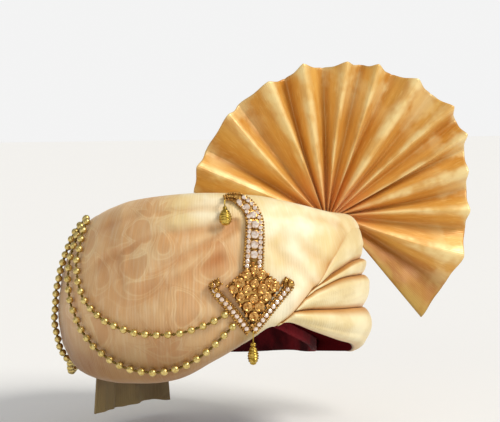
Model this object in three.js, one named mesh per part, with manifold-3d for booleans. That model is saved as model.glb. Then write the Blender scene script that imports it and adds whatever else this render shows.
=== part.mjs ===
// A ready-tied wedding turban: a lined cap wound with brocade, rolled bands that cross over the forehead,
// a pleated fan, a hanging tail, a stone-set brooch and three strings of gold beads.
// Millimetres, +Z up, the forehead towards -Y, the wearer's left towards +X.
// The origin is the middle of the head opening, level with the brow.
// An angle runs round the head from the forehead (0) over the wearer's left (90) to the back (180).
import * as THREE from 'three';
import Module from 'manifold-3d';

const wasm = await Module();
wasm.setup();

// Head and cap
const headHalfWidth = 80;
const headHalfLength = 100;
const capWall = 3;
const gap = 0.5;
const panelSeat = 1.6;
const bandSeat = 1.6;
const capDomeTop = 77;
const capRimRise = 3;
const capSections = 36;

// Cap profile from rim to dome: share of the side radius, height
const capProfile = [
  { share: 1.0, height: 20 },
  { share: 0.9, height: 48 },
  { share: 0.62, height: 68 },
  { share: 0.3, height: 75 },
];

// Crown
const crownShare = 0.64;
const crownTop = 83;
const crownPleats = 9;
const crownPleatDepth = 1.5;

// Outside of the wound cloth, a row for each section round the head
const wrapSections = [
  { angle: -180, crestR: 98, crestZ: 70, bulgeR: 132, bulgeZ: 0, rimR: 112, rimZ: -62, round: 1.2 },
  { angle: -150, crestR: 97, crestZ: 68, bulgeR: 129, bulgeZ: -3, rimR: 109, rimZ: -58, round: 1.25 },
  { angle: -115, crestR: 92, crestZ: 70, bulgeR: 124, bulgeZ: -6, rimR: 104, rimZ: -50, round: 1.3 },
  { angle: -90, crestR: 93, crestZ: 76, bulgeR: 124, bulgeZ: -5, rimR: 104, rimZ: -51, round: 1.3 },
  { angle: -75, crestR: 94, crestZ: 83, bulgeR: 125, bulgeZ: -3, rimR: 105, rimZ: -51, round: 1.2 },
  { angle: -60, crestR: 95, crestZ: 90, bulgeR: 126, bulgeZ: 0, rimR: 106, rimZ: -49, round: 1.1 },
  { angle: -36, crestR: 97, crestZ: 96, bulgeR: 127, bulgeZ: 8, rimR: 108, rimZ: -41.5, round: 1.0 },
  { angle: -20, crestR: 98, crestZ: 97, bulgeR: 127, bulgeZ: 14, rimR: 112, rimZ: -25, round: 0.95 },
  { angle: -8, crestR: 98, crestZ: 95.5, bulgeR: 127, bulgeZ: 22, rimR: 115, rimZ: -11, round: 0.9 },
  { angle: 0, crestR: 98, crestZ: 94, bulgeR: 127, bulgeZ: 28, rimR: 117, rimZ: -2, round: 0.85 },
  { angle: 8, crestR: 99, crestZ: 91, bulgeR: 127, bulgeZ: 26, rimR: 117, rimZ: -7, round: 0.8 },
  { angle: 20, crestR: 100, crestZ: 86, bulgeR: 127, bulgeZ: 18, rimR: 116, rimZ: -17, round: 0.75 },
  { angle: 40, crestR: 102, crestZ: 78, bulgeR: 128, bulgeZ: 6, rimR: 118, rimZ: -31, round: 0.65 },
  { angle: 65, crestR: 105, crestZ: 73, bulgeR: 130, bulgeZ: -5, rimR: 119, rimZ: -42, round: 0.6 },
  { angle: 100, crestR: 104, crestZ: 70, bulgeR: 130, bulgeZ: -8, rimR: 115, rimZ: -50, round: 0.8 },
  { angle: 140, crestR: 100, crestZ: 68, bulgeR: 131, bulgeZ: -5, rimR: 112, rimZ: -60, round: 1.0 },
];
const crestDrop = 13;
const crestTurn = 0.35;
const crestSag = 0.3;
const crestRound = 1.6;
const crownSeat = 2.5;
const crownTuck = 1;
const overlapRaise = 3;
const overlapGrow = 12;

// Lines between the front panel and the four rolled bands, heights round the wearer's left side
const bandLines = [
  { angle: -6, panel: -14, first: 12, second: 9, third: 6 },
  { angle: 0, panel: -4, first: 14, second: 11, third: 8 },
  { angle: 3, panel: 2.5, first: 17, second: 13, third: 9 },
  { angle: 7, panel: 11, first: 20, second: 16, third: 10 },
  { angle: 13, panel: 24, first: 24, second: 21, third: 9.5 },
  { angle: 16, panel: 28, first: 27, second: 24, third: 9 },
  { angle: 29, panel: 54, first: 35, second: 29.5, third: 6 },
  { angle: 44, panel: 63.5, first: 39.5, second: 28, third: 2.5 },
  { angle: 65, panel: 61, first: 36, second: 23, third: -4 },
  { angle: 100, panel: 55, first: 29, second: 13, third: -13 },
  { angle: 140, panel: 48, first: 20, second: 3, third: -24 },
  { angle: 156, panel: 34, first: 14, second: -3, third: -29 },
  { angle: 186, panel: -48, first: 4, second: -12, third: -36 },
  { angle: 192, panel: -66, first: 0, second: -15, third: -38 },
];
const bandRaise = 3.5;
const creaseDepth = 3;
const bandMinimum = 2;
const backTurn = 192;

// Fan: the place where the pleats gather, the way it faces, and a row for each fold
const fanRoot = { x: 108, y: -1, z: 67 };
const fanFacing = -21;
const fanCloth = 2.2;
const fanRootRadius = 6;
const fanRootDepth = 4;
const fanOuterDepth = 13;
const fanSteps = 6;
const fanClear = 0.6;
const fanFolds = [
  { turn: 170, reach: 115, side: -1 }, { turn: 159, reach: 119, side: 1 },
  { turn: 151, reach: 117, side: -1 }, { turn: 134.4, reach: 121, side: 1 },
  { turn: 128, reach: 121, side: -1 }, { turn: 114, reach: 125, side: 1 },
  { turn: 106.8, reach: 122, side: -1 }, { turn: 99.4, reach: 131, side: 1 },
  { turn: 91.6, reach: 126, side: -1 }, { turn: 83, reach: 132, side: 1 },
  { turn: 77, reach: 132, side: -1 }, { turn: 71.5, reach: 136, side: 1 },
  { turn: 65, reach: 133, side: -1 }, { turn: 56.5, reach: 140, side: 1 },
  { turn: 49, reach: 136, side: -1 }, { turn: 40.8, reach: 139, side: 1 },
  { turn: 36, reach: 134, side: -1 }, { turn: 30, reach: 136, side: 1 },
  { turn: 25, reach: 130, side: -1 }, { turn: 17.5, reach: 131, side: 1 },
  { turn: 10, reach: 126, side: -1 }, { turn: 2, reach: 127, side: 1 },
  { turn: -6, reach: 124, side: -1 }, { turn: -17, reach: 122, side: 1 },
  { turn: -31, reach: 118, side: -1 }, { turn: -47, reach: 120, side: 1 },
];

// Tail
const tailFrom = -140;
const tailTo = -184;
const tailBottom = -106;
const tailRadius = 106;
const tailCloth = 2.4;
const tailFold = 2;
const tailFlare = 1.08;

// Bead strings: a row for each point of the route, angle and height on the cloth
const beadRadius = 3.4;
const beadPitch = 10;
const threadRadius = 1.2;
const beadSides = 10;
const beadLift = 0.5;
const routeSteps = 48;
const upperString = [
  { angle: -88, height: 69 }, { angle: -82, height: 54 }, { angle: -80, height: 39 },
  { angle: -76.5, height: 25 }, { angle: -70, height: 10.5 }, { angle: -61, height: 1 },
  { angle: -51, height: -5.5 }, { angle: -42, height: -6.5 }, { angle: -33, height: -4.5 },
  { angle: -25.5, height: 1.5 }, { angle: -18.5, height: 11 },
];
const lowerString = [
  { angle: -95, height: 70 }, { angle: -90, height: 56 }, { angle: -88.5, height: 42 },
  { angle: -86, height: 25 }, { angle: -81, height: 9 }, { angle: -74, height: -8 },
  { angle: -65, height: -21.5 }, { angle: -54.5, height: -32 }, { angle: -44, height: -34.8 },
  { angle: -34, height: -30 }, { angle: -24.7, height: -18 }, { angle: -16, height: 2 },
];
const backString = [
  { angle: -101, height: 68 }, { angle: -98, height: 54 }, { angle: -97, height: 36 },
  { angle: -98.5, height: 12 }, { angle: -101, height: -14 }, { angle: -105, height: -40 },
  { angle: -113, height: -57 }, { angle: -123, height: -60 }, { angle: -133, height: -54 },
  { angle: -141, height: -38 }, { angle: -148, height: -12 }, { angle: -154, height: 16 },
  { angle: -158, height: 44 },
];

// Brooch: across and up from its middle, measured on the cloth
const broochAngle = -9.5;
const broochHeight = 27;
const broochPlate = 1.8;
const broochLift = 0.5;
const leanStart = 78;
const leanBack = 0.6;
const diamond = {
  top: { across: 1, up: 21 }, right: { across: 22, up: 4 },
  bottom: { across: 0, up: -24 }, left: { across: -18, up: 5 },
};
const stemLine = [
  { across: 1, up: 17, half: 7 }, { across: 2.6, up: 33, half: 6.8 }, { across: 3.8, up: 44, half: 6.4 },
  { across: 4.4, up: 52, half: 6 }, { across: 2, up: 60, half: 5.4 }, { across: -4, up: 65.5, half: 4.4 },
  { across: -11, up: 68, half: 3 }, { across: -17, up: 67, half: 1.5 },
];
const leftArm = [
  { across: -23, up: 13, half: 2.4 }, { across: -28, up: 9.5, half: 2.6 },
  { across: -25, up: 3, half: 2.8 }, { across: -18, up: -7, half: 2.9 },
  { across: -10, up: -17, half: 2.9 }, { across: -1, up: -30, half: 2.6 },
];
const rightArm = [
  { across: 25, up: 12, half: 2.4 }, { across: 30, up: 8.5, half: 2.6 }, { across: 26, up: 3, half: 2.8 },
  { across: 18, up: -5, half: 2.9 }, { across: 9, up: -16, half: 2.9 }, { across: 1, up: -30, half: 2.6 },
];
const clusterRows = 4;
const clusterStone = 3.1;
const armStones = 5;
const armStone = 2.1;
const stemStones = [
  { across: 2, up: 27, size: 3 }, { across: 2.6, up: 34, size: 3 },
  { across: 3.4, up: 41, size: 3 }, { across: 4.2, up: 48, size: 2.8 },
  { across: 3.6, up: 54.6, size: 2.6 }, { across: 0, up: 60.2, size: 2.3 },
  { across: -5.4, up: 64, size: 2 },
];
const stoneSides = 8;
const stoneLift = 0.3;
const dropWire = 0.5;
const upperDrop = { across: -17, up: 64.5, lean: 24, length: 20, radius: 4.5 };
const lowerDrop = { across: 1.5, up: -32, length: 22, radius: 3.6 };

// Colours
const colours = {
  lining: 0x3c0a0f, cloth: 0xe8cfa0, panel: 0xe4c496, fan: 0xc98a35, tail: 0x8a7a50,
  gold: 0x8f7426, stone: 0xe8dccd, drop: 0xa88a2a,
};

const radians = THREE.MathUtils.degToRad;

// Smooth value of a table's column at an angle: each span is a cubic that keeps its neighbours' slopes
function smooth(rows, angle, column) {
  let index = 1;
  while (index < rows.length - 3 && rows[index + 1].angle <= angle) index += 1;
  const [before, from, to, after] = [rows[index - 1], rows[index], rows[index + 1], rows[index + 2]];
  const span = to.angle - from.angle;
  const slopeFrom = (to[column] - before[column]) / (to.angle - before.angle) * span;
  const slopeTo = (after[column] - from[column]) / (after.angle - from.angle) * span;
  const u = THREE.MathUtils.clamp((angle - from.angle) / span, 0, 1);
  return (2 * u ** 3 - 3 * u ** 2 + 1) * from[column] + (u ** 3 - 2 * u ** 2 + u) * slopeFrom
    + (3 * u ** 2 - 2 * u ** 3) * to[column] + (u ** 3 - u ** 2) * slopeTo;
}

// The sections once round, with neighbours from the other end before and after
const turnRow = (row, turn) => ({ ...row, angle: row.angle + turn });
const wrapTurn = [
  turnRow(wrapSections.at(-1), -360), ...wrapSections,
  turnRow(wrapSections[0], 360), turnRow(wrapSections[1], 360),
];
const wholeTurn = (angle) => THREE.MathUtils.euclideanModulo(angle + 180, 360) - 180;
const section = (angle, column) => smooth(wrapTurn, wholeTurn(angle), column);
const crest = (angle) => ({ r: section(angle, 'crestR'), z: section(angle, 'crestZ') });
const rimHeight = (angle) => section(angle, 'rimZ');

// Radius of the wound cloth at a height: a rounded shoulder above the bulge, a quarter ellipse below
function clothRadius(angle, z) {
  const bulge = { r: section(angle, 'bulgeR'), z: section(angle, 'bulgeZ') };
  const top = crest(angle);
  if (z >= bulge.z) {
    const rise = Math.min((z - bulge.z) / (top.z - bulge.z), 1);
    return top.r + (bulge.r - top.r) * (1 - rise ** 2) ** (section(angle, 'round') / 2);
  }
  const fall = Math.min((bulge.z - z) / (bulge.z - rimHeight(angle)), 1);
  const rimR = section(angle, 'rimR');
  return rimR + (bulge.r - rimR) * Math.sqrt(1 - fall ** 2);
}

// Half width of the head's ellipse in one direction, with a wall added to both half axes
function headRadius(angle, wall) {
  const side = Math.sin(radians(angle)) / (headHalfWidth + wall);
  const length = Math.cos(radians(angle)) / (headHalfLength + wall);
  return 1 / Math.hypot(side, length);
}

// Outside of the cap at a height, as a share of its side radius
function capShare(z) {
  const rows = [...capProfile, { share: 0, height: capDomeTop }];
  if (z <= rows[0].height) return 1;
  const next = rows.findIndex((row) => row.height >= z);
  if (next < 0) return 0;
  const [low, high] = [rows[next - 1], rows[next]];
  return THREE.MathUtils.lerp(low.share, high.share, (z - low.height) / (high.height - low.height));
}
const capRadius = (angle, z, extra) => capShare(z) * headRadius(angle, capWall) + extra;

function capHeightAt(share) {
  const rows = [...capProfile, { share: 0, height: capDomeTop }];
  const next = rows.findIndex((row) => row.share <= share);
  const [low, high] = [rows[next - 1], rows[next]];
  return THREE.MathUtils.lerp(low.height, high.height, (low.share - share) / (low.share - high.share));
}

const polar = (r, angle, z) => new THREE.Vector3(
  r * Math.sin(radians(angle)), -r * Math.cos(radians(angle)), z);

// A closed body's geometry from its points and triangles: equal points join, flat triangles go,
// and the faces are turned to point outwards
function closedGeometry(points, faces) {
  const lookup = new Map();
  const merged = [];
  const shared = points.map((point) => {
    const key = point.toArray().map((value) => Math.round(value * 1e4)).join();
    if (!lookup.has(key)) lookup.set(key, merged.push(point) - 1);
    return lookup.get(key);
  });
  let triangles = faces.map((face) => face.map((corner) => shared[corner]));
  triangles = triangles.filter(([a, b, c]) => a !== b && b !== c && c !== a);
  const volume = triangles.reduce((sum, [a, b, c]) => (
    sum + merged[a].dot(merged[b].clone().cross(merged[c]))), 0);
  if (volume < 0) triangles = triangles.map(([a, b, c]) => [a, c, b]);
  const geometry = new THREE.BufferGeometry();
  geometry.setAttribute('position', new THREE.Float32BufferAttribute(
    merged.flatMap((point) => point.toArray()), 3));
  geometry.setIndex(triangles.flat());
  geometry.computeVertexNormals();
  return geometry;
}

// A solid between an outer and an inner grid of points, closed round its edges
function slab(outer, inner, wholeRing = false) {
  const [count, width] = [outer.length, outer[0].length];
  const points = [...outer.flat(), ...inner.flat()];
  const out = (u, v) => (u % count) * width + v;
  const back = (u, v) => count * width + out(u, v);
  const faces = [];
  const quad = (a, b, c, d) => faces.push([a, b, c], [a, c, d]);
  const lastU = wholeRing ? count : count - 1;
  for (let u = 0; u < lastU; u += 1) {
    for (let v = 0; v < width - 1; v += 1) {
      quad(out(u, v), out(u + 1, v), out(u + 1, v + 1), out(u, v + 1));
      quad(back(u, v + 1), back(u + 1, v + 1), back(u + 1, v), back(u, v));
    }
    quad(back(u, 0), back(u + 1, 0), out(u + 1, 0), out(u, 0));
    faces.push([back(u, width - 1), out(u + 1, width - 1), back(u + 1, width - 1)]);
    faces.push([back(u, width - 1), out(u, width - 1), out(u + 1, width - 1)]);
  }
  if (!wholeRing) {
    for (let v = 0; v < width - 1; v += 1) {
      quad(out(0, v), out(0, v + 1), back(0, v + 1), back(0, v));
      quad(back(lastU, v), back(lastU, v + 1), out(lastU, v + 1), out(lastU, v));
    }
  }
  return closedGeometry(points, faces);
}

const group = new THREE.Group();
group.name = 'tied_turban';
function addMesh(name, geometry, colour, roughness, metalness) {
  const material = new THREE.MeshStandardMaterial({ color: colour, roughness, metalness });
  const mesh = new THREE.Mesh(geometry, material);
  mesh.name = name;
  group.add(mesh);
}

// Evenly spaced numbers from one end to the other
const spread = (from, to, steps) => (
  Array.from({ length: steps + 1 }, (_, i) => from + (to - from) * i / steps));

// The lined cap: a hollow dome whose rim follows the cloth's
function capGeometry() {
  const shell = (angle, wall) => {
    const rimRow = { r: headRadius(angle, wall), z: rimHeight(angle) + capRimRise };
    const rows = [rimRow, ...capProfile.map((row) => ({
      r: row.share * headRadius(angle, wall), z: row.height - (capWall - wall) }))];
    return [...rows.map((row) => polar(row.r, angle, row.z)),
      new THREE.Vector3(0, 0, capDomeTop - (capWall - wall))];
  };
  const angles = spread(-180, 180, capSections).slice(0, -1);
  const outer = angles.map((angle) => shell(angle, capWall));
  const inner = angles.map((angle) => shell(angle, 0));
  return slab(outer, inner, true);
}

// Angles at which the cloth pieces have their sections: closer where the lines cross, front and back
const stations = [
  ...spread(-168, -8, 20), ...spread(-5, 35, 10), ...spread(42, 147, 15), ...spread(152, 188, 9),
];

// Height of a line between the pieces at an angle; no line rises above the panel's edge
function lineHeight(angle, line) {
  const turn = angle < bandLines[0].angle ? angle + 360 : angle;
  const rim = rimHeight(angle);
  if (line === 'rim' || turn > backTurn) return rim;
  const ends = [turnRow(bandLines[0], -6), ...bandLines, turnRow(bandLines.at(-1), 6)];
  const panel = Math.max(smooth(ends, turn, 'panel'), rim);
  return line === 'panel' ? panel : Math.max(Math.min(smooth(ends, turn, line), panel), rim);
}

// Inner points of a piece between two heights, on the cap's own corners so that both stay parallel
function innerRows(angle, high, low, count, seat) {
  const corners = capProfile.slice(0, 2).reverse();
  const levels = corners.map((row) => THREE.MathUtils.clamp(row.height, low, high));
  const heights = [high, ...levels];
  while (heights.length < count) heights.push(low);
  return heights.map((z) => polar(capRadius(angle, z, seat), angle, z));
}

// Height of the wound cloth's turned-in edge: below the crest, but never below the cap with the crown on it
const turnedEdge = (angle) => Math.max(crest(angle).z - crestDrop, capHeightAt(crownShare) + crownSeat);

// The crown's outside: a shallow pleated dome that meets the turned-in edge of the wound cloth
function crownHeight(angle, share) {
  const edge = turnedEdge(angle) - crownTuck;
  const pleat = crownPleatDepth * Math.sin(radians(angle) * crownPleats) * Math.sin(Math.PI * share);
  return edge + (crownTop - edge) * (1 - share ** 2) + pleat;
}

function crownGeometry() {
  const angles = spread(-180, 180, capSections).slice(0, -1);
  const edge = (angle) => crownShare * headRadius(angle, capWall);
  const shares = [1, 0.8, 0.5, 0.22];
  const outer = angles.map((angle) => [
    ...shares.map((share) => polar(share * edge(angle), angle, crownHeight(angle, share))),
    new THREE.Vector3(0, 0, crownTop)]);
  const steps = [crownShare, 0.62, 0.3, 0.3].map((share) => ({ share, z: capHeightAt(share) + gap }));
  const inner = angles.map((angle) => [
    ...steps.map((row) => polar(row.share * headRadius(angle, capWall), angle, row.z)),
    new THREE.Vector3(0, 0, capDomeTop + gap)]);
  return slab(outer, inner, true);
}

// How far the panel stands proud of the wound cloth: it swells towards the edge that laps the bands
function panelRaise(angle, z) {
  const low = lineHeight(angle, 'panel');
  if (low <= rimHeight(angle) + 0.01) return 0;
  const top = crest(angle).z;
  const swell = THREE.MathUtils.smoothstep(low - rimHeight(angle), 0, overlapGrow);
  return overlapRaise * swell * THREE.MathUtils.clamp((top - z) / (top - low), 0, 1) ** 2;
}

// The front panel: from the crown over the crest and down to its edge, all round the head
function panelGeometry() {
  const fall = [0.06, 0.2, 0.4, 0.62, 0.82, 1];
  const outer = [];
  const inner = [];
  stations.forEach((angle) => {
    const top = crest(angle);
    const low = lineHeight(angle, 'panel');
    const isEdge = low > rimHeight(angle) + 0.01;
    const bottom = isEdge ? low + gap : low;
    const crownEdge = crownShare * headRadius(angle, capWall) + gap;
    const turned = turnedEdge(angle);
    const down = fall.map((share) => {
      const z = top.z - (top.z - bottom) * share;
      return polar(clothRadius(angle, z) + panelRaise(angle, z), angle, z);
    });
    outer.push([
      polar(crownEdge, angle, turned),
      polar(THREE.MathUtils.lerp(crownEdge, top.r, crestTurn), angle, top.z - (top.z - turned) * crestSag),
      polar(top.r, angle, top.z), ...down]);
    const foot = capHeightAt(crownShare);
    const rows = innerRows(angle, foot, bottom, fall.length + 2, panelSeat);
    inner.push([polar(crownEdge, angle, foot + gap), ...rows]);
  });
  return slab(outer, inner, true);
}

// A rolled band between two lines, from where it leaves the panel's edge at the front to the back
function bandGeometry(upper, lower) {
  const across = [0, 0.12, 0.5, 0.88, 1];
  const outer = [];
  const inner = [];
  stations.forEach((angle) => {
    const high = lineHeight(angle, upper) - gap / 2;
    const low = lineHeight(angle, lower) + (lower === 'rim' ? 0 : gap / 2);
    if (high - low < bandMinimum) return;
    outer.push(across.map((share) => {
      const z = high - (high - low) * share;
      const roll = Math.sin(Math.PI * share) ** 0.6;
      return polar(clothRadius(angle, z) - creaseDepth + (creaseDepth + bandRaise) * roll, angle, z);
    }));
    inner.push(innerRows(angle, high, low, across.length, bandSeat));
  });
  return slab(outer, inner);
}

// Lowest height that is clear of the cloth at a place: the crest and crown inside, nothing outside
function clothTop(x, y) {
  const angle = THREE.MathUtils.radToDeg(Math.atan2(x, -y));
  const r = Math.hypot(x, y);
  const top = crest(angle);
  const crownEdge = crownShare * headRadius(angle, capWall);
  if (r < crownEdge) return crownHeight(angle, r / crownEdge);
  const inward = THREE.MathUtils.clamp((top.r - r) / (top.r - crownEdge), 0, 1);
  return top.z - (top.z - turnedEdge(angle)) * inward ** crestRound;
}
function isInCloth(point, clear) {
  const angle = THREE.MathUtils.radToDeg(Math.atan2(point.x, -point.y));
  const r = Math.hypot(point.x, point.y);
  const top = crest(angle);
  if (r <= top.r) return point.z < clothTop(point.x, point.y) + clear;
  return point.z < top.z + clear && r < clothRadius(angle, Math.min(point.z, top.z)) + bandRaise + clear;
}

// The fan: one cloth folded to and fro, each fold a ray from the place where the pleats gather
function fanGeometry() {
  const across = new THREE.Vector3(Math.cos(radians(fanFacing)), Math.sin(radians(fanFacing)), 0);
  const facing = new THREE.Vector3(Math.sin(radians(fanFacing)), -Math.cos(radians(fanFacing)), 0);
  const root = new THREE.Vector3(fanRoot.x, fanRoot.y, fanRoot.z);
  const place = (fold, distance, half) => {
    const depth = THREE.MathUtils.lerp(fanRootDepth, fanOuterDepth, Math.sqrt(distance / fold.reach));
    return root.clone()
      .addScaledVector(across, distance * Math.cos(radians(fold.turn)))
      .setZ(root.z + distance * Math.sin(radians(fold.turn)))
      .addScaledVector(facing, fold.side * depth / 2 + half);
  };
  const isCovered = (fold, distance) => [-fanCloth, 0, fanCloth].some((half) => (
    isInCloth(place(fold, distance, half), fanClear)));
  const face = (half) => fanFolds.map((fold) => {
    let start = fanRootRadius;
    while (isCovered(fold, start)) start += 1;
    return spread(start, fold.reach, fanSteps).map((distance) => place(fold, distance, half));
  });
  return slab(face(fanCloth / 2), face(-fanCloth / 2));
}

// The tail: a narrow cloth with soft upright folds that hangs from under the back rim
function tailGeometry() {
  const middle = (tailFrom + tailTo) / 2;
  const face = (extra) => spread(tailFrom, tailTo, 8).map((angle, i) => spread(0, 1, 3).map((down) => {
    const flared = middle + (angle - middle) * THREE.MathUtils.lerp(1, tailFlare, down);
    const fold = tailFold * Math.cos(i * Math.PI * 2 / 3) * down;
    const z = THREE.MathUtils.lerp(rimHeight(angle) - gap, tailBottom, down);
    return polar(tailRadius + fold + extra, flared, z);
  }));
  return slab(face(tailCloth), face(0));
}

// A place above the cloth, lifted the way the cloth faces there; below the rim it hangs straight down
function onCloth(angle, z, lift) {
  const low = rimHeight(angle) + 4;
  if (z < low) return polar(clothRadius(angle, low) + lift, angle, z);
  const at = (turn, height) => polar(clothRadius(turn, height), turn, height);
  const step = 1;
  const round = at(angle + step, z).sub(at(angle - step, z));
  const rise = at(angle, z + step).sub(at(angle, z - step));
  return at(angle, z).addScaledVector(round.cross(rise).normalize(), lift);
}

// A closed tube along a line of points, with its own radius at each point
function tube(centres, radii, sides) {
  const points = [];
  const faces = [];
  const isUpright = Math.abs(centres[1].clone().sub(centres[0]).normalize().z) > 0.9;
  let side = isUpright ? new THREE.Vector3(1, 0, 0) : new THREE.Vector3(0, 0, 1);
  centres.forEach((centre, i) => {
    const before = centres[Math.max(i - 1, 0)];
    const after = centres[Math.min(i + 1, centres.length - 1)];
    const along = after.clone().sub(before).normalize();
    side = side.clone().addScaledVector(along, -side.dot(along)).normalize();
    const other = along.clone().cross(side);
    spread(0, 2 * Math.PI, sides).slice(0, -1).forEach((turn) => points.push(centre.clone()
      .addScaledVector(side, radii[i] * Math.cos(turn)).addScaledVector(other, radii[i] * Math.sin(turn))));
  });
  const at = (i, turn) => i * sides + (turn % sides);
  for (let turn = 0; turn < sides; turn += 1) {
    for (let i = 0; i < centres.length - 1; i += 1) {
      faces.push([at(i, turn), at(i, turn + 1), at(i + 1, turn + 1)]);
      faces.push([at(i, turn), at(i + 1, turn + 1), at(i + 1, turn)]);
    }
  }
  const last = centres.length - 1;
  for (let turn = 1; turn < sides - 1; turn += 1) {
    faces.push([at(0, 0), at(0, turn + 1), at(0, turn)]);
    faces.push([at(last, 0), at(last, turn), at(last, turn + 1)]);
  }
  return closedGeometry(points, faces);
}

// A string of beads on its thread: the thread's tube swells into a round bead at every pitch
function stringGeometry(route) {
  const flat = new THREE.CatmullRomCurve3(route.map((row) => new THREE.Vector3(row.angle, row.height, 0)));
  const curve = new THREE.CatmullRomCurve3(flat.getPoints(routeSteps).map((point) => (
    onCloth(point.x, point.y, beadRadius + beadLift))));
  const length = curve.getLength();
  const beads = Math.floor(length / beadPitch);
  const centres = [];
  const radii = [];
  const add = (distance, radius) => {
    centres.push(curve.getPointAt(THREE.MathUtils.clamp(distance / length, 0, 1)));
    radii.push(radius);
  };
  const pitch = length / beads;
  add(0, threadRadius);
  for (let i = 0; i < beads; i += 1) {
    add((i + 0.5) * pitch - beadRadius * 0.5, beadRadius);
    add((i + 0.5) * pitch + beadRadius * 0.5, beadRadius);
    add((i + 1) * pitch, threadRadius);
  }
  return tube(centres, radii, beadSides);
}

// A place on the brooch, measured across and up from its middle; above the shoulder it leans back
function onBrooch(across, up, lift) {
  const z = broochHeight + up;
  const onShoulder = Math.min(z, leanStart);
  const level = clothRadius(broochAngle, Math.max(Math.min(onShoulder, leanStart), 0));
  const angle = broochAngle + THREE.MathUtils.radToDeg(across / level);
  const low = Math.max(onShoulder, rimHeight(angle) + 4);
  const r = Math.max(clothRadius(angle, low) + panelRaise(angle, low), clothRadius(broochAngle, low));
  return polar(r + lift - Math.max(z - leanStart, 0) * leanBack, angle, z);
}

// The way the brooch faces at a place
function broochFacing(across, up) {
  const step = 2;
  const along = onBrooch(across + step, up, 0).sub(onBrooch(across - step, up, 0));
  const rise = onBrooch(across, up + step, 0).sub(onBrooch(across, up - step, 0));
  return along.cross(rise).normalize();
}

// A cut stone: eight slanted facets under a flat table, with its girdle on the brooch's face
function stoneGeometry(across, up, radius, lift, height) {
  const facing = broochFacing(across, up);
  const middle = onBrooch(across, up, lift);
  const rings = [[0, radius], [height, radius * 0.6]];
  const centres = rings.map(([rise]) => middle.clone().addScaledVector(facing, rise));
  return tube(centres, rings.map((ring) => ring[1]), stoneSides);
}

const toSolid = (geometry) => {
  const mesh = new wasm.Mesh({
    numProp: 3,
    vertProperties: new Float32Array(geometry.getAttribute('position').array),
    triVerts: new Uint32Array(geometry.getIndex().array),
  });
  return new wasm.Manifold(mesh);
};
const toGeometry = (solid) => {
  const mesh = solid.getMesh();
  const geometry = new THREE.BufferGeometry();
  geometry.setAttribute('position', new THREE.BufferAttribute(mesh.vertProperties, mesh.numProp));
  geometry.setIndex(new THREE.BufferAttribute(mesh.triVerts, 1));
  return geometry;
};

// A flat plate of the brooch along a line, with its own half width at each point
function plateGeometry(line) {
  const middle = line.map((row) => new THREE.Vector2(row.across, row.up));
  const face = (lift) => line.map((row, i) => {
    const before = middle[Math.max(i - 1, 0)];
    const along = middle[Math.min(i + 1, middle.length - 1)].clone().sub(before).normalize();
    return [-1, 0, 1].map((side) => onBrooch(
      row.across + side * row.half * along.y, row.up - side * row.half * along.x, lift));
  });
  return slab(face(broochLift + broochPlate), face(broochLift));
}

// A point of the diamond between its four corners
function inDiamond(u, v) {
  const mix = (key) => (1 - u) * (1 - v) * diamond.bottom[key] + u * (1 - v) * diamond.right[key]
    + u * v * diamond.top[key] + (1 - u) * v * diamond.left[key];
  return { across: mix('across'), up: mix('up') };
}

// A point along an arm or the stem, by its share of the line's length
function alongLine(line, share) {
  const curve = new THREE.CatmullRomCurve3(line.map((row) => new THREE.Vector3(row.across, row.up, 0)));
  const point = curve.getPointAt(share);
  return { across: point.x, up: point.y };
}

// The gilt setting: diamond, stem and two arms in one, with its cluster and the arms' stones set in it
function settingGeometry() {
  const steps = spread(0, 1, 4);
  const face = (lift) => steps.map((u) => steps.map((v) => {
    const point = inDiamond(u, v);
    return onBrooch(point.across, point.up, lift);
  }));
  const solids = [slab(face(broochLift + broochPlate), face(broochLift))];
  [stemLine, leftArm, rightArm].forEach((line) => solids.push(plateGeometry(line)));
  const seat = broochLift + broochPlate - 0.6;
  const places = spread(0.5 / clusterRows, 1 - 0.5 / clusterRows, clusterRows - 1);
  places.forEach((u) => places.forEach((v) => {
    const point = inDiamond(u, v);
    solids.push(stoneGeometry(point.across, point.up, clusterStone, seat, clusterStone));
  }));
  [leftArm, rightArm].forEach((line) => spread(0.06, 0.94, armStones - 1).forEach((share) => {
    const point = alongLine(line, share);
    solids.push(stoneGeometry(point.across, point.up, armStone, seat, armStone));
  }));
  return solids.map(toSolid).reduce((whole, solid) => whole.add(solid));
}

// A drop that hangs by its wire: the wire, the cap and the drop are one turned body
function dropGeometry(hook, start, down, length, radius) {
  const rows = [
    [0.28, dropWire], [0.34, 0.45 * radius], [0.42, 0.55 * radius], [0.62, radius],
    [0.8, 0.95 * radius], [0.95, 0.5 * radius], [1, 0.15 * radius]];
  const centres = rows.map(([share]) => start.clone().addScaledVector(down, share * length));
  return tube([hook, start, ...centres], [dropWire, dropWire, ...rows.map((row) => row[1])], beadSides);
}
function upperDropGeometry() {
  const lean = radians(upperDrop.lean);
  const hook = onBrooch(upperDrop.across, upperDrop.up + 2, broochLift + broochPlate + gap);
  const outward = hook.clone().setZ(0).normalize();
  const down = outward.clone().multiplyScalar(Math.sin(lean)).setZ(-Math.cos(lean));
  const start = hook.clone().addScaledVector(outward, upperDrop.radius);
  return dropGeometry(hook, start, down, upperDrop.length, upperDrop.radius);
}
function lowerDropGeometry() {
  const hook = onBrooch(lowerDrop.across, lowerDrop.up + 3, broochLift + broochPlate + gap);
  const start = onBrooch(lowerDrop.across, lowerDrop.up, broochLift + lowerDrop.radius);
  return dropGeometry(hook, start, new THREE.Vector3(0, 0, -1), lowerDrop.length, lowerDrop.radius);
}

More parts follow.
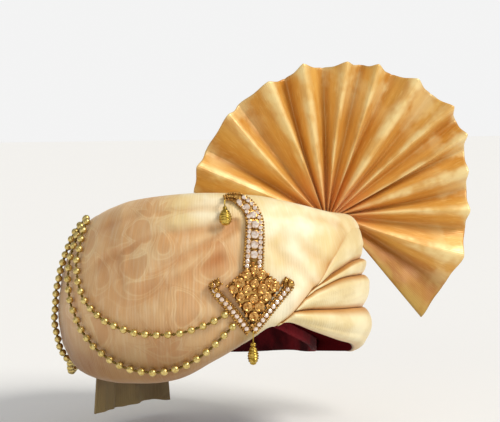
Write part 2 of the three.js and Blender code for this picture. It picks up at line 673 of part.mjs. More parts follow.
addMesh('inner_cap', capGeometry(), colours.lining, 0.85, 0);
addMesh('crown_pleats', crownGeometry(), colours.cloth, 0.6, 0);
addMesh('front_wrap', panelGeometry(), colours.panel, 0.55, 0);
const foldLines = ['panel', 'first', 'second', 'third', 'rim'];
foldLines.slice(1).forEach((lower, i) => {
  addMesh(`side_fold_${i + 1}`, bandGeometry(foldLines[i], lower), colours.cloth, 0.5, 0);
});

addMesh('fan', fanGeometry(), colours.fan, 0.35, 0);
addMesh('tail', tailGeometry(), colours.tail, 0.6, 0);
addMesh('bead_string_upper', stringGeometry(upperString), colours.gold, 0.3, 0.9);
addMesh('bead_string_lower', stringGeometry(lowerString), colours.gold, 0.3, 0.9);
addMesh('bead_string_back', stringGeometry(backString), colours.gold, 0.3, 0.9);
addMesh('brooch_setting', toGeometry(settingGeometry()), colours.gold, 0.35, 0.8);
stemStones.forEach((stone, i) => {
  const lift = broochLift + broochPlate + stoneLift;
  const geometry = stoneGeometry(stone.across, stone.up, stone.size, lift, stone.size);
  addMesh(`stem_stone_${i + 1}`, geometry, colours.stone, 0.1, 0);
});
addMesh('upper_drop', upperDropGeometry(), colours.drop, 0.3, 0.7);
addMesh('lower_drop', lowerDropGeometry(), colours.drop, 0.3, 0.7);

export default group;
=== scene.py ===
import math

import bpy
import numpy as np
from mathutils import Matrix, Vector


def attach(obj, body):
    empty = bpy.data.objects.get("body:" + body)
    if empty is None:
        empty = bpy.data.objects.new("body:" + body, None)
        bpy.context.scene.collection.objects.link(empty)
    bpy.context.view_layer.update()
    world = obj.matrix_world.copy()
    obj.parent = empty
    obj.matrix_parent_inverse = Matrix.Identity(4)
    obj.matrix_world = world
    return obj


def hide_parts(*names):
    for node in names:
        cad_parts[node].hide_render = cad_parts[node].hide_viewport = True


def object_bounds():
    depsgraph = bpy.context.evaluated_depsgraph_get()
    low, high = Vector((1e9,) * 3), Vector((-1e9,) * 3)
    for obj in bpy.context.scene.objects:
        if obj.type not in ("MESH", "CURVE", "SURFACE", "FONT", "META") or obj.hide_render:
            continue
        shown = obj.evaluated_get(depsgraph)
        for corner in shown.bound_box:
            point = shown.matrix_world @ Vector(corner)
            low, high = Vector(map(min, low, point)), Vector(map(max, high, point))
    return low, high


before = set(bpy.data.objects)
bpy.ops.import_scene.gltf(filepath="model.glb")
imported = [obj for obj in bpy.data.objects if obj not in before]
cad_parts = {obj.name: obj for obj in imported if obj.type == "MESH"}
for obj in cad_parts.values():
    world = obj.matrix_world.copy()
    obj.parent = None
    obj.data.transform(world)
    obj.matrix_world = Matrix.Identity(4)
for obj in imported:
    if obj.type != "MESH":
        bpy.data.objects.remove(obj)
cad_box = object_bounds()

# The camera: level with the brow, towards the wearer's front right, a metre off
camera_azimuth = math.radians(-25)
camera_rise = math.radians(5)
camera_distance = 1.0
camera_aim = np.array([0.0299, -0.01396, 0.075])
focal_share = 1220 / 500
sensor_width = 36.0

camera_back = np.array([
    math.sin(camera_azimuth) * math.cos(camera_rise),
    -math.cos(camera_azimuth) * math.cos(camera_rise),
    math.sin(camera_rise)])
camera_right = np.array([math.cos(camera_azimuth), math.sin(camera_azimuth), 0.0])
camera_up = np.cross(camera_back, camera_right)
camera_data = bpy.data.cameras.new("camera")
camera_data.lens = focal_share * sensor_width
camera_data.sensor_width = sensor_width
camera = bpy.data.objects.new("camera", camera_data)
camera_turn = Matrix(np.column_stack([camera_right, camera_up, camera_back]).tolist())
camera.matrix_world = Matrix.Translation(camera_aim + camera_back * camera_distance) @ camera_turn.to_4x4()
bpy.context.collection.objects.link(camera)
bpy.context.scene.camera = camera


# The lined cap
# A stiff cap of three layers, lined in dark maroon cloth that shows in the arch over the forehead. The silk
# is wound on it over padding, and its rim follows the rim of the wound cloth.

# Sections round the head in mm: angle, crest radius and height, bulge radius and height, rim radius and
# height, and how full the shoulder between crest and bulge is
wound_sections = np.array([
    [-180, 98, 70, 132, 0, 112, -62, 1.2],
    [-150, 97, 68, 129, -3, 109, -58, 1.25],
    [-115, 92, 70, 124, -6, 104, -50, 1.3],
    [-90, 93, 76, 124, -5, 104, -51, 1.3],
    [-75, 94, 83, 125, -3, 105, -51, 1.2],
    [-60, 95, 90, 126, 0, 106, -49, 1.1],
    [-36, 97, 96, 127, 8, 108, -41.5, 1.0],
    [-20, 98, 97, 127, 14, 112, -25, 0.95],
    [-8, 98, 95.5, 127, 22, 115, -11, 0.9],
    [0, 98, 94, 127, 28, 117, -2, 0.85],
    [8, 99, 91, 127, 26, 117, -7, 0.8],
    [20, 100, 86, 127, 18, 116, -17, 0.75],
    [40, 102, 78, 128, 6, 118, -31, 0.65],
    [65, 105, 73, 130, -5, 119, -42, 0.6],
    [100, 104, 70, 130, -8, 115, -50, 0.8],
    [140, 100, 68, 131, -5, 112, -60, 1.0],
])
head_half_width = 80.0
head_half_length = 100.0
cap_wall = 3.0
# The cap's height in mm at its corners, and its share there of the head's ellipse
cap_corners_z = [20, 48, 68, 75, 77]
cap_corners_share = [1.0, 0.9, 0.62, 0.3, 0.0]


def smooth_rows(rows, column, at):
    """Cubic through a table's column: each span keeps the slope of the line between its neighbours."""
    x, y = rows[:, 0], rows[:, column]
    i = np.clip(np.searchsorted(x, at, side="right") - 1, 1, len(x) - 3)
    span = x[i + 1] - x[i]
    slope_from = (y[i + 1] - y[i - 1]) / (x[i + 1] - x[i - 1]) * span
    slope_to = (y[i + 2] - y[i]) / (x[i + 2] - x[i]) * span
    u = np.clip((at - x[i]) / span, 0, 1)
    return ((2 * u**3 - 3 * u**2 + 1) * y[i] + (u**3 - 2 * u**2 + u) * slope_from
            + (3 * u**2 - 2 * u**3) * y[i + 1] + (u**3 - u**2) * slope_to)


wound_turn = np.concatenate([wound_sections[-1:], wound_sections, wound_sections[:2]])
wound_turn[0, 0] -= 360
wound_turn[-2:, 0] += 360


def wound(angle):
    """The wound cloth's section at an angle in degrees: the seven columns of its table."""
    turned = (np.asarray(angle, float) + 180) % 360 - 180
    return [smooth_rows(wound_turn, column, turned) for column in range(1, 8)]


def head_radius(angle, wall):
    """Radius of the head's ellipse with a wall added to both half axes."""
    turn = np.radians(angle)
    return 1 / np.hypot(np.sin(turn) / (head_half_width + wall), np.cos(turn) / (head_half_length + wall))


def step(low, high, value):
    """Smooth step from 0 at low to 1 at high."""
    share = np.clip((value - low) / (high - low), 0, 1)
    return share * share * (3 - 2 * share)


def polar(radius, angle, height):
    """Points in mm from radius, angle from the forehead towards the wearer's left, and height."""
    turn = np.radians(angle)
    return np.stack(np.broadcast_arrays(radius * np.sin(turn), -radius * np.cos(turn), height), axis=-1)


def ripple(along, across, seed, size):
    """Soft wrinkles: five sine waves of unlike lengths and directions, in mm, between -1 and 1."""
    waves = np.random.default_rng(seed)
    total = np.zeros(np.broadcast(along, across).shape)
    for share in (1.0, 0.8, 0.6, 0.45, 0.3):
        turn, phase = waves.uniform(0, math.pi), waves.uniform(0, 2 * math.pi)
        length = size * share * waves.uniform(0.8, 1.25)
        total = total + share * np.sin(
            2 * math.pi * (along * math.cos(turn) + across * math.sin(turn)) / length + phase)
    return total / 3.15


def grid(first, second):
    """Two parameters at every pair of their values."""
    return np.meshgrid(first, second, indexing="ij")


def run_along(points):
    """Distance along each line of points from its first one."""
    steps = np.linalg.norm(np.diff(points, axis=-2), axis=-1)
    return np.concatenate([np.zeros_like(steps[..., :1]), np.cumsum(steps, axis=-1)], axis=-1)


def grid_piece(name, points, uv, close_u=False, close_v=False, ends=False, poles=False, shades=None):
    """A smooth mesh of quads over a grid of points in mm. It may close on itself either way. ends gives it
    a face over each open ring, and poles one over each small ring about the middle, where the uv needs no
    mend at the seam. uv is in mm, shades are numbers kept at the points."""
    rows, columns = points.shape[:2]
    index = np.arange(rows * columns).reshape(rows, columns)
    a = index if close_u else index[:-1]
    b = np.roll(index, -1, axis=0) if close_u else index[1:]
    if close_v:
        quads = np.stack([a, b, np.roll(b, -1, axis=1), np.roll(a, -1, axis=1)], axis=-1)
    else:
        quads = np.stack([a[:, :-1], b[:, :-1], b[:, 1:], a[:, 1:]], axis=-1)
    faces = quads.reshape(-1, 4).tolist()
    if ends:
        faces += [index[0].tolist(), index[-1][::-1].tolist()]
    if poles:
        faces += [index[::-1, 0].tolist(), index[:, -1].tolist()]
    mesh = bpy.data.meshes.new(name)
    mesh.from_pydata((points.reshape(-1, 3) * 0.001).tolist(), [], faces)
    corners = np.empty(len(mesh.loops), dtype=np.int32)
    mesh.loops.foreach_get("vertex_index", corners)
    measure = uv.reshape(-1, 2)[corners]
    if close_u and not poles:
        last_quads = np.arange(len(corners)) >= 4 * (quads.size // 4) * (rows - 1) // rows
        over_seam = last_quads & (corners < columns)
        measure[over_seam] += (2 * uv[-1] - uv[-2] - uv[0])[corners[over_seam]]
    layer = mesh.uv_layers.new(name="cloth")
    layer.data.foreach_set("uv", (measure * 0.001).ravel().astype(np.float32))
    for label, values in (shades or {}).items():
        attribute = mesh.attributes.new(label, "FLOAT", "POINT")
        attribute.data.foreach_set("value", values.ravel().astype(np.float32))
    return finish_mesh(name, mesh)


def finish_mesh(name, mesh):
    """An object at the origin with smooth faces that point outwards."""
    a = np.empty(len(mesh.vertices) * 3)
    mesh.vertices.foreach_get("co", a)
    points = a.reshape(-1, 3)
    mesh.calc_loop_triangles()
    corners = np.empty(len(mesh.loop_triangles) * 3, dtype=np.int32)
    mesh.loop_triangles.foreach_get("vertices", corners)
    p, q, r = (points[corners.reshape(-1, 3)[:, k]] for k in range(3))
    if (p * np.cross(q, r)).sum() < 0:
        mesh.flip_normals()
    mesh.shade_smooth()
    mesh.update()
    piece = bpy.data.objects.new(name, mesh)
    bpy.context.collection.objects.link(piece)
    return piece


def declare(piece, material, slot, *nodes):
    """The piece takes its material, rides on the one body and stands for its nodes. Its slot is not used."""
    piece.data.materials.append(material)
    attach(piece, "root")
    if nodes:
        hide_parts(*nodes)


def new_material(name):
    """A material, and short ways to add nodes and maths to it and to give its shader a value."""
    material = bpy.data.materials.new(name)
    material.use_nodes = True
    tree = material.node_tree
    shader = tree.nodes["Principled BSDF"]

    def fill(socket, value):
        if isinstance(value, bpy.types.NodeSocket):
            tree.links.new(value, socket)
        else:
            socket.default_value = value

    def add(kind, inputs=(), **settings):
        node = tree.nodes.new(kind)
        for key, value in settings.items():
            setattr(node, key, value)
        for key, value in dict(inputs).items():
            fill(node.inputs[key], value)
        return node

    def sums(operation, first, second=0.0):
        return add("ShaderNodeMath", {0: first, 1: second}, operation=operation).outputs[0]

    def band(value, low, high, start=0.0, end=1.0):
        return add("ShaderNodeMapRange", {
            "Value": value, "From Min": low, "From Max": high, "To Min": start, "To Max": end,
        }, interpolation_type="SMOOTHSTEP").outputs[0]

    def mix(share, first, second, blend="MIX"):
        node = add("ShaderNodeMix", {0: share}, data_type="RGBA", blend_type=blend)
        for key, value in ((6, first), (7, second)):
            fill(node.inputs[key], (*value, 1.0) if isinstance(value, tuple) else value)
        return node.outputs[2]

    def give(value, socket):
        fill(shader.inputs[socket], value)

    return material, add, sums, band, mix, give


def linear(red, green, blue):
    """A colour given as seen on a screen, 0 to 255, in the linear numbers that shaders take."""
    seen = np.array([red, green, blue]) / 255
    return tuple(np.where(seen <= 0.04045, seen / 12.92, ((seen + 0.055) / 1.055) ** 2.4).tolist())


def kept(add, label):
    """The number kept under a label at the mesh's points."""
    return add("ShaderNodeAttribute", attribute_name=label).outputs[2]


def noise(add, place, scale, detail, roughness=0.5):
    """Soft noise from 0 to 1."""
    return add("ShaderNodeTexNoise", {
        "Vector": place, "Scale": scale, "Detail": detail, "Roughness": roughness}).outputs[0]


def weave_bump(add, sums, uv, half_pitch, strength, extra=None):
    """A satin weave's bump: fine threads across the cloth, broken by a little noise. The wave node runs
    through 20 radians in one unit, so pi / 20 over half the pitch in metres gives a thread each pitch."""
    threads = add("ShaderNodeTexWave", {
        "Vector": uv, "Scale": math.pi / 20 / half_pitch, "Distortion": 1.5,
        "Detail": 1.0, "Detail Scale": 2.0}, wave_type="BANDS", bands_direction="X")
    height = sums("ADD", threads.outputs[1], sums("MULTIPLY", noise(add, uv, 900.0, 2.0), 0.7))
    if extra is not None:
        height = sums("ADD", height, extra)
    return add("ShaderNodeBump", {"Height": height, "Strength": strength, "Distance": 0.00025})


cap_angles = np.linspace(-180, 180, 240, endpoint=False)
cap_down = np.linspace(0, 1, 60)


def cap_shell(angle, down, wall, drop):
    """The cap's wall from near its top, down 0, to its rim, down 1, one layer of it at a time."""
    rim = wound(angle)[5] + 0.3
    height = 77 - (77 - rim) * down**1.6
    share = np.interp(height, cap_corners_z, cap_corners_share, right=0.0)
    share = np.where(down <= 0, 0.004, np.maximum(share, 0.004))
    wrinkle = 0.0 if wall else 0.9 * ripple(np.radians(angle) * 90, height * 0.6, 71, 26) - 0.9
    return polar(share * head_radius(angle, wall) + wrinkle * step(0.3, 0.5, down), angle, height - drop)


cap_angle, cap_share_down = grid(cap_angles, cap_down)
cap_outer = cap_shell(cap_angle, cap_share_down, cap_wall, 0.0)
cap_inner = cap_shell(cap_angle, cap_share_down, 0.0, 3.0)
cap_inner[:, -1, 2] += 3.0
cap_points = np.concatenate([cap_outer, cap_inner[:, ::-1]], axis=1)
cap_run = np.concatenate([cap_share_down * 150, 320 - cap_share_down * 150], axis=1)
cap_uv = np.stack([np.radians(np.concatenate([cap_angle, cap_angle], axis=1)) * 90, cap_run], axis=-1)
cap_piece = grid_piece("lined_cap", cap_points, cap_uv, close_u=True, poles=True)
lining, add, sums, band, mix, give = new_material("cap_lining")
lining_uv = add("ShaderNodeUVMap", uv_map="cloth").outputs[0]
lining_tone = noise(add, add("ShaderNodeTexCoord").outputs["Object"], 45.0, 4.0)
give(mix(band(lining_tone, 0.35, 0.7), linear(66, 9, 15), linear(122, 24, 32)), "Base Color")
give(weave_bump(add, sums, lining_uv, 0.0009, 0.5).outputs[0], "Normal")
give(0.85, "Roughness")
give(0.15, "Specular IOR Level")
declare(cap_piece, lining, "cap_lining", "inner_cap")


# The front panel
# One broad length of peach and cream silk brocade, wound round the lined cap over padding. It rises over
# the crest, turns in to the crown, and its folded lower edge crosses the forehead from the rim to the top.

# Heights of the panel's edge and of the three creases between the bands: angle, edge, first to third
crossing_lines = np.array([
    [-12, -20, 11, 8, 5],
    [-6, -14, 12, 9, 6],
    [0, -4, 14, 11, 8],
    [3, 2.5, 17, 13, 9],
    [7, 11, 20, 16, 10],
    [13, 24, 24, 21, 9.5],
    [16, 28, 27, 24, 9],
    [29, 54, 35, 29.5, 6],
    [44, 63.5, 39.5, 28, 2.5],
    [65, 61, 36, 23, -4],
    [100, 55, 29, 13, -13],
    [140, 48, 20, 3, -24],
    [156, 34, 14, -3, -29],
    [186, -48, 4, -12, -36],
    [192, -66, 0, -15, -38],
    [198, -80, 0, -18, -40],
])
crown_share = 0.64
crown_gap = 0.5
crest_drop = 13.0
turned_lowest = 69.1
panel_foot = 67.1
girth_radius = 125.0
seat_gap = 1.6
overlap_raise = 3.0
edge_lift, edge_round = 0.5, 2.6
brooch_angle = -9.5


def wound_radius(angle, height):
    """Outside radius: crest plus a power of a circle above the bulge, a quarter ellipse below it."""
    crest_r, crest_z, bulge_r, bulge_z, rim_r, rim_z, full = wound(angle)
    rise = np.clip((height - bulge_z) / (crest_z - bulge_z), 0, 1)
    fall = np.clip((bulge_z - height) / (bulge_z - rim_z), 0, 1)
    upper = crest_r + (bulge_r - crest_r) * (1 - rise**2) ** (full / 2)
    lower = rim_r + (bulge_r - rim_r) * np.sqrt(1 - fall**2)
    return np.where(height >= bulge_z, upper, lower)


def crossing(angle, line):
    """Height of a crossing line: 1 the panel's edge, 2 to 4 the creases, 5 the rim. None passes the edge."""
    turned = np.where(angle < -12, angle + 360, angle)
    rim = wound(angle)[5]
    if line == 5:
        return rim
    edge = np.maximum(smooth_rows(crossing_lines, 1, turned), rim)
    edge = np.where(turned > 197, rim, edge)
    if line == 1:
        return edge
    return np.maximum(np.minimum(smooth_rows(crossing_lines, line, turned), edge), rim)


def seat_radius(angle, height, gap):
    """Radius of the cap's outside below its top, with a gap over it."""
    share = np.interp(height, cap_corners_z[:3], cap_corners_share[:3])
    return share * head_radius(angle, cap_wall) + gap


# Motifs woven in the panel: middle round the girth and up in mm, turn in degrees, half width, half length,
# and how far the tip bends
motifs = [
    (-109, 72, 85, 9, 12, 3), (-85, 64, 10, 5, 8, 2), (-107, 43, -60, 7, 13, 5),
    (-140, 38, 20, 7, 12, 4), (-98, 31, -68, 4.5, 17, 3), (-112, 58, -60, 3.5, 14, 3),
    (-67, 16, 15, 9, 13, 4), (-44, 50, -15, 8, 15, 4), (-140, -4, 40, 7, 12, 4),
    (-165, 60, 30, 7, 12, 4), (-172, 10, -30, 7, 13, 4), (-205, 38, 20, 8, 13, 4), (-212, -18, 70, 7, 12, 4),
    (-246, 12, -20, 8, 13, 4), (-255, 52, 60, 7, 12, 4), (-262, -30, 20, 7, 12, 4), (-300, 20, 40, 7, 12, 4),
    (-318, -24, 10, 7, 12, 4), (-310, 60, -30, 7, 12, 4), (-352, 44, 20, 7, 12, 4),
]
# Two of them are flowers of five thin petals: the middle, then each petal's turn
petal_reach = 9.0
for across, up in ((-97, 84), (-82, -20)):
    for turn in (-76, -38, 0, 38, 76):
        motifs.append((across - petal_reach * math.sin(math.radians(turn)),
                       up + petal_reach * math.cos(math.radians(turn)), turn, 2.5, 8, 0))
panel_columns = np.concatenate([
    np.linspace(-180, -120, 70, endpoint=False), np.linspace(-120, 60, 330, endpoint=False),
    np.linspace(60, 180, 120, endpoint=False)])
# Creases pulled to the brooch's stem: angle and height at the far end, the middle and the stem, then how
# deep and how wide each one is in mm
stem_creases = [
    (-46, 92, -30, 92.5, -15, 90, 1.2, 3.5), (-50, 80, -32.5, 85, -17, 86, 2.8, 4.0),
    (-40, 66, -27, 71, -14, 78, 3.4, 4.2), (-46, 37, -27, 58, -14, 73, 3.6, 4.6),
    (-52, 18, -36, 34, -20, 52, 2.2, 6.0), (-60, -8, -44, 2, -26, 6, 1.0, 7.0),
    (-4, 74, 10, 58, 26, 36, 2.0, 8.0), (-4, 60, 5, 47, 14, 28, 1.2, 5.0),
    (-4, 86, 14, 80, 38, 69, 1.5, 5.0), (-70, 66, -60, 52, -54, 30, 1.3, 7.0),
    (-76, 36, -56, 54, -38, 71, 1.8, 5.0), (-80, 62, -66, 72, -52, 80, 1.4, 4.5),
]


def panel_folds(angle, height):
    """Depth of the panel's folds in mm: a bell-shaped valley along each crease, with a swell above it,
    fading at both ends, over long and short ripples of the whole cloth."""
    depth = np.zeros(np.broadcast(angle, height).shape)
    for far, far_z, middle, middle_z, near, near_z, deep, wide in stem_creases:
        along = (angle - far) / (near - far)
        bend = (middle - far) / (near - far)
        bow = (middle_z - far_z - (near_z - far_z) * bend) / (bend * (1 - bend))
        share = np.clip(along, 0, 1)
        line_z = far_z + (near_z - far_z) * share + bow * share * (1 - share)
        slope = (near_z - far_z) / ((near - far) * math.radians(girth_radius))
        off = (height - line_z) / math.hypot(1, slope)
        wander = wide * (1.25 - 0.5 * share)
        fade = step(-0.12, 0.3, along) * (1 - step(0.97, 1.12, along))
        swell = 0.5 * np.exp(-(((off - 2.4 * wander) / (1.7 * wander)) ** 2))
        depth += deep * fade * (swell - np.exp(-((off / wander) ** 2)))
    girth = np.radians(angle) * girth_radius
    depth += 1.1 * ripple(girth, height * 1.6, 11, 95) + 0.45 * ripple(girth, height * 1.3, 12, 34)
    depth += 0.16 * ripple(girth, height, 13, 11)
    off_brooch = np.abs((angle - brooch_angle) * math.radians(girth_radius)) - 14
    clear_of_brooch = step(0, 16, off_brooch) + (1 - step(-8, 0, height)) * step(0, 6, -14 - height)
    return np.where(depth > 0, depth * np.clip(clear_of_brooch, 0, 1), depth)


def turned_edge(angle):
    """Height of the cloth's turned-in edge: below the crest, but never below the cap and its crown."""
    return np.maximum(wound(angle)[1] - crest_drop, turned_lowest)


def edge_fade(angle):
    """How much of the panel's lapping edge shows: it smooths out over the shoulder in front of the fan."""
    return 1 - 0.95 * step(28, 42, angle) * (1 - step(84, 104, angle))


def panel_out(angle, height):
    """Outside radius of the panel: the wound form, the swell towards its lapping edge, and the folds."""
    crest_z, rim_z = wound(angle)[1], wound(angle)[5]
    edge = crossing(angle, 1)
    lap = step(1, 14, edge - rim_z)
    swell = overlap_raise * edge_fade(angle) * lap * np.clip((crest_z - height) / (crest_z - edge), 0, 1) ** 2
    return wound_radius(angle, height) + swell + panel_folds(angle, height)


def panel_surface(angle, down):
    """The panel's closed section, run round the head. down from 0 to 1 goes from the crown over the
    crest and down to the edge, 1 to 1.2 rolls under it, and 1.2 to 2 climbs back along the cap."""
    crest_r, crest_z, *_, rim_z, _ = wound(angle)
    edge = crossing(angle, 1)
    lap = step(1, 14, edge - rim_z)
    inner = crown_share * head_radius(angle, cap_wall) + crown_gap
    turn_in = np.clip(1 - down / 0.2, 0, 1)
    lip_r = inner + (crest_r - inner) * (1 - turn_in**1.7)
    lip_z = crest_z - (crest_z - turned_edge(angle)) * (1 - np.sqrt(np.clip(1 - turn_in**2.2, 0, 1)))
    share = np.clip((down - 0.2) / 0.8, 0, 1)
    bottom = edge + edge_lift * lap * edge_fade(angle)
    fall = 1 - np.cos(share * math.pi / 2) ** 1.15
    height = crest_z - (crest_z - bottom) * fall
    plain = wound_radius(angle, height)
    out = plain + (panel_out(angle, height) - plain) * step(0.16, 0.3, down)
    round_off = step(0.965, 1.0, down)
    out = out - edge_round * edge_fade(angle) * round_off
    roll = np.clip((down - 1) / 0.2, 0, 1)
    cap = head_radius(angle, cap_wall) + seat_gap
    under_r = out + (cap - out) * roll
    climb = np.clip((down - 1.2) / 0.8, 0, 1)
    climb_z = bottom + (panel_foot - bottom) * climb
    climb_r = seat_radius(angle, climb_z, seat_gap)
    radius = np.where(down < 0.2, lip_r, np.where(down <= 1, out, np.where(down <= 1.2, under_r, climb_r)))
    z = np.where(down < 0.2, lip_z, np.where(down <= 1, height, np.where(down <= 1.2, bottom, climb_z)))
    return polar(radius, angle, z)


panel_rows = np.concatenate([
    np.linspace(0, 0.2, 14, endpoint=False), np.linspace(0.2, 0.96, 128, endpoint=False),
    np.linspace(0.96, 1.0, 8), [1.03, 1.1, 1.2, 1.5, 1.8, 2.0]])
panel_angle, panel_down = grid(panel_columns, panel_rows)
panel_points = panel_surface(panel_angle, panel_down)
panel_run = run_along(panel_points)
panel_level = 40.0
level_row = np.abs(np.where(panel_down <= 1, panel_points[..., 2], 1e6)
                   - np.maximum(panel_level, crossing(panel_angle, 1))).argmin(axis=1)
panel_pick = np.arange(len(panel_columns))
panel_level_v = panel_points[panel_pick, level_row, 2] + panel_run[panel_pick, level_row]
panel_v = panel_level_v[:, None] - panel_run
panel_uv = np.stack([np.radians(panel_angle) * girth_radius, panel_v], axis=-1)
panel_above = step(-2, 10, panel_points[..., 2] - (77 + (panel_angle + 16) * 0.47))
panel_above = panel_above * step(-50, -32, panel_angle)
panel_peach = (1 - step(-16, -7, panel_angle)) * (1 - 0.85 * panel_above)
panel_peach = np.where(panel_angle < -120, step(-180, -120, panel_angle), panel_peach)
panel_height = panel_points[..., 2]
panel_face = (panel_down > 0.2) * (panel_down <= 1)
# Painted shade: the panel is darkened tan in the valleys of its folds, and over the rolled fold above its
# lapping edge right of the brooch.
panel_crease_shade = 0.5 * np.clip(-panel_folds(panel_angle, panel_height) / 2.6, 0, 1) * panel_face
panel_above_edge = panel_height - crossing(panel_angle, 1)
panel_lap = step(1, 14, crossing(panel_angle, 1) - wound(panel_angle)[5])
panel_edge_shade = 0.55 * (1 - step(0, 16, panel_above_edge)) + 0.35 * (1 - step(0, 5, panel_above_edge))
panel_crease_shade += panel_edge_shade * panel_lap * edge_fade(panel_angle) * (panel_angle > 0)
# A soft darker tan patch left of the brooch.
panel_crease_shade += 0.4 * np.exp(-(((panel_angle + 20.5) * 2.18 / 10) ** 2) - ((panel_height - 49.5) / 9) ** 2)
panel_crease_shade = np.clip(panel_crease_shade, 0, 1)
# Painted shade: the panel is darkened low down, just above its lapping edge, and round the wearer's right
# side towards the back, all away from the key light.
panel_low_shade = np.maximum(1 - step(-45, 10, panel_height), 0.8 * (1 - step(3, 22, panel_above_edge)))
panel_low_shade = panel_low_shade * (1 - step(-16, 6, panel_angle))
panel_side_shade = (1 - step(-106, -80, panel_angle)) * step(-180, -130, panel_angle)
panel_low_side_shade = np.clip(0.95 * panel_low_shade + 0.7 * panel_side_shade, 0, 1)
front_panel = grid_piece("front_panel", panel_points, panel_uv, close_u=True, close_v=True,
                         shades={"peach": panel_peach, "crease": panel_crease_shade, "low_side_shade": panel_low_side_shade,
                                 "lined": (panel_down > 1.01) * 1.0})


def motif_distance(add, sums, uv, shapes):
    """Nodes for the distance in mm from the nearest woven motif, each a bent teardrop: an ellipse
    whose width shrinks towards its tip."""
    nearest = None
    for across, up, turn, width, length, bend in shapes:
        local = add("ShaderNodeMapping", {
            "Vector": uv, "Location": (across * 0.001, up * 0.001, 0), "Rotation": (0, 0, math.radians(turn)),
            "Scale": (width * 0.001, length * 0.001, 1)}, vector_type="TEXTURE")
        split = add("ShaderNodeSeparateXYZ", {0: local.outputs[0]})
        x, y = split.outputs[0], split.outputs[1]
        bent = sums("ADD", x, sums("MULTIPLY", sums("MULTIPLY", y, y), bend / width))
        narrow = sums("DIVIDE", bent, sums("MAXIMUM", sums("SUBTRACT", 1.0, sums("MULTIPLY", y, 0.45)), 0.3))
        size = sums("SQRT", sums("ADD", sums("MULTIPLY", narrow, narrow), sums("MULTIPLY", y, y)))
        away = sums("MULTIPLY", sums("SUBTRACT", size, 1.0), width)
        nearest = away if nearest is None else sums("MINIMUM", nearest, away)
    return nearest


def brocade(name, ground, deep, pale, shade, shapes, peach=None, roughness=0.42, line_strength=0.5):
    """Silk brocade: a satin ground with cloudy tone whose pale patches are painted satin highlights, woven
    motifs in a deeper thread with thin pale double outlines, fine upright ribs, painted shade kept at the
    mesh's points, and a satin weave's bump."""
    material, add, sums, band, mix, give = new_material(name)
    thread = linear(242, 212, 160)
    uv = add("ShaderNodeUVMap", uv_map="cloth").outputs[0]
    warp = add("ShaderNodeTexNoise", {"Vector": uv, "Scale": 38.0, "Detail": 1.0})
    swing = add("ShaderNodeVectorMath", {0: warp.outputs[1], 1: (0.5, 0.5, 0.5)}, operation="SUBTRACT")
    shift = add("ShaderNodeVectorMath", {0: swing.outputs[0], "Scale": 0.007}, operation="SCALE")
    bent = add("ShaderNodeVectorMath", {0: uv, 1: shift.outputs[0]}, operation="ADD").outputs[0]
    place = add("ShaderNodeTexCoord").outputs["Object"]
    cloud = noise(add, place, 26.0, 3.0, 0.55)
    streak_uv = add("ShaderNodeMapping", {"Vector": uv, "Scale": (9.0, 0.6, 1.0)}).outputs[0]
    streak = noise(add, streak_uv, 60.0, 3.0)
    # Cloudy tone between ground and pale; the pale patches are painted satin highlights.
    colour = mix(band(cloud, 0.38, 0.68), ground, pale)
    if peach is not None:
        side = kept(add, "peach")
        toned = mix(band(cloud, 0.35, 0.7), peach[0], peach[1])
        colour = mix(side, colour, toned)
    crease = kept(add, "crease")
    colour = mix(band(streak, 0.4, 0.75, 0.0, 0.22), colour, pale)
    if shapes:
        away = motif_distance(add, sums, bent, shapes)
    else:
        cells = add("ShaderNodeTexVoronoi", {"Vector": bent, "Scale": 19.0, "Randomness": 0.9})
        away = sums("MULTIPLY", sums("SUBTRACT", cells.outputs[0], 0.3), 46.0)
    fill = band(away, 0.5, -1.2)
    ring_one = band(sums("ABSOLUTE", sums("SUBTRACT", away, 0.3)), 0.6, 0.15)
    ring_two = band(sums("ABSOLUTE", sums("SUBTRACT", away, 2.6)), 0.55, 0.12)
    ring_three = band(sums("ABSOLUTE", sums("SUBTRACT", away, 6.2)), 0.5, 0.1, 0.0, 0.45)
    lines = sums("MAXIMUM", sums("MAXIMUM", ring_one, ring_two), ring_three)
    halo = band(sums("ABSOLUTE", sums("SUBTRACT", away, 4.2)), 2.2, 0.4, 0.0, 0.45)
    worn = band(cloud, 0.3, 0.6, 0.55, 1.0)
    colour = mix(sums("MULTIPLY", sums("MULTIPLY", fill, line_strength), worn), colour, deep)
    colour = mix(sums("MULTIPLY", halo, 0.7 * line_strength), colour, deep)
    colour = mix(sums("MULTIPLY", sums("MULTIPLY", lines, 0.75 * line_strength), worn), colour, thread)
    # Painted shade in creases and under rims: the shade colour multiplied in.
    colour = mix(crease, colour, shade, blend="MULTIPLY")
    # Painted shade on the side away from the light: a darker khaki multiplied in.
    low_side_shade = kept(add, "low_side_shade")
    colour = mix(low_side_shade, colour, linear(160, 134, 88), blend="MULTIPLY")
    lined = kept(add, "lined")
    colour = mix(lined, colour, linear(62, 8, 12))
    give(colour, "Base Color")
    shine = sums("SUBTRACT", roughness + 0.06, sums("MULTIPLY", lines, 0.12 * line_strength))
    give(sums("ADD", shine, sums("MULTIPLY", sums("SUBTRACT", cloud, 0.5), 0.18)), "Roughness")
    bump = weave_bump(add, sums, uv, 0.0011, 0.35, sums("MULTIPLY", lines, 0.8))
    give(bump.outputs[0], "Normal")
    silk = sums("SUBTRACT", 1.0, lined)
    give(sums("MULTIPLY", silk, 0.25), "Sheen Weight")
    give(sums("MULTIPLY", silk, 0.5), "Specular IOR Level")
    give(0.4, "Sheen Roughness")
    give((1.0, 0.9, 0.72, 1.0), "Sheen Tint")
    give(0.3, "Anisotropic")
    return material


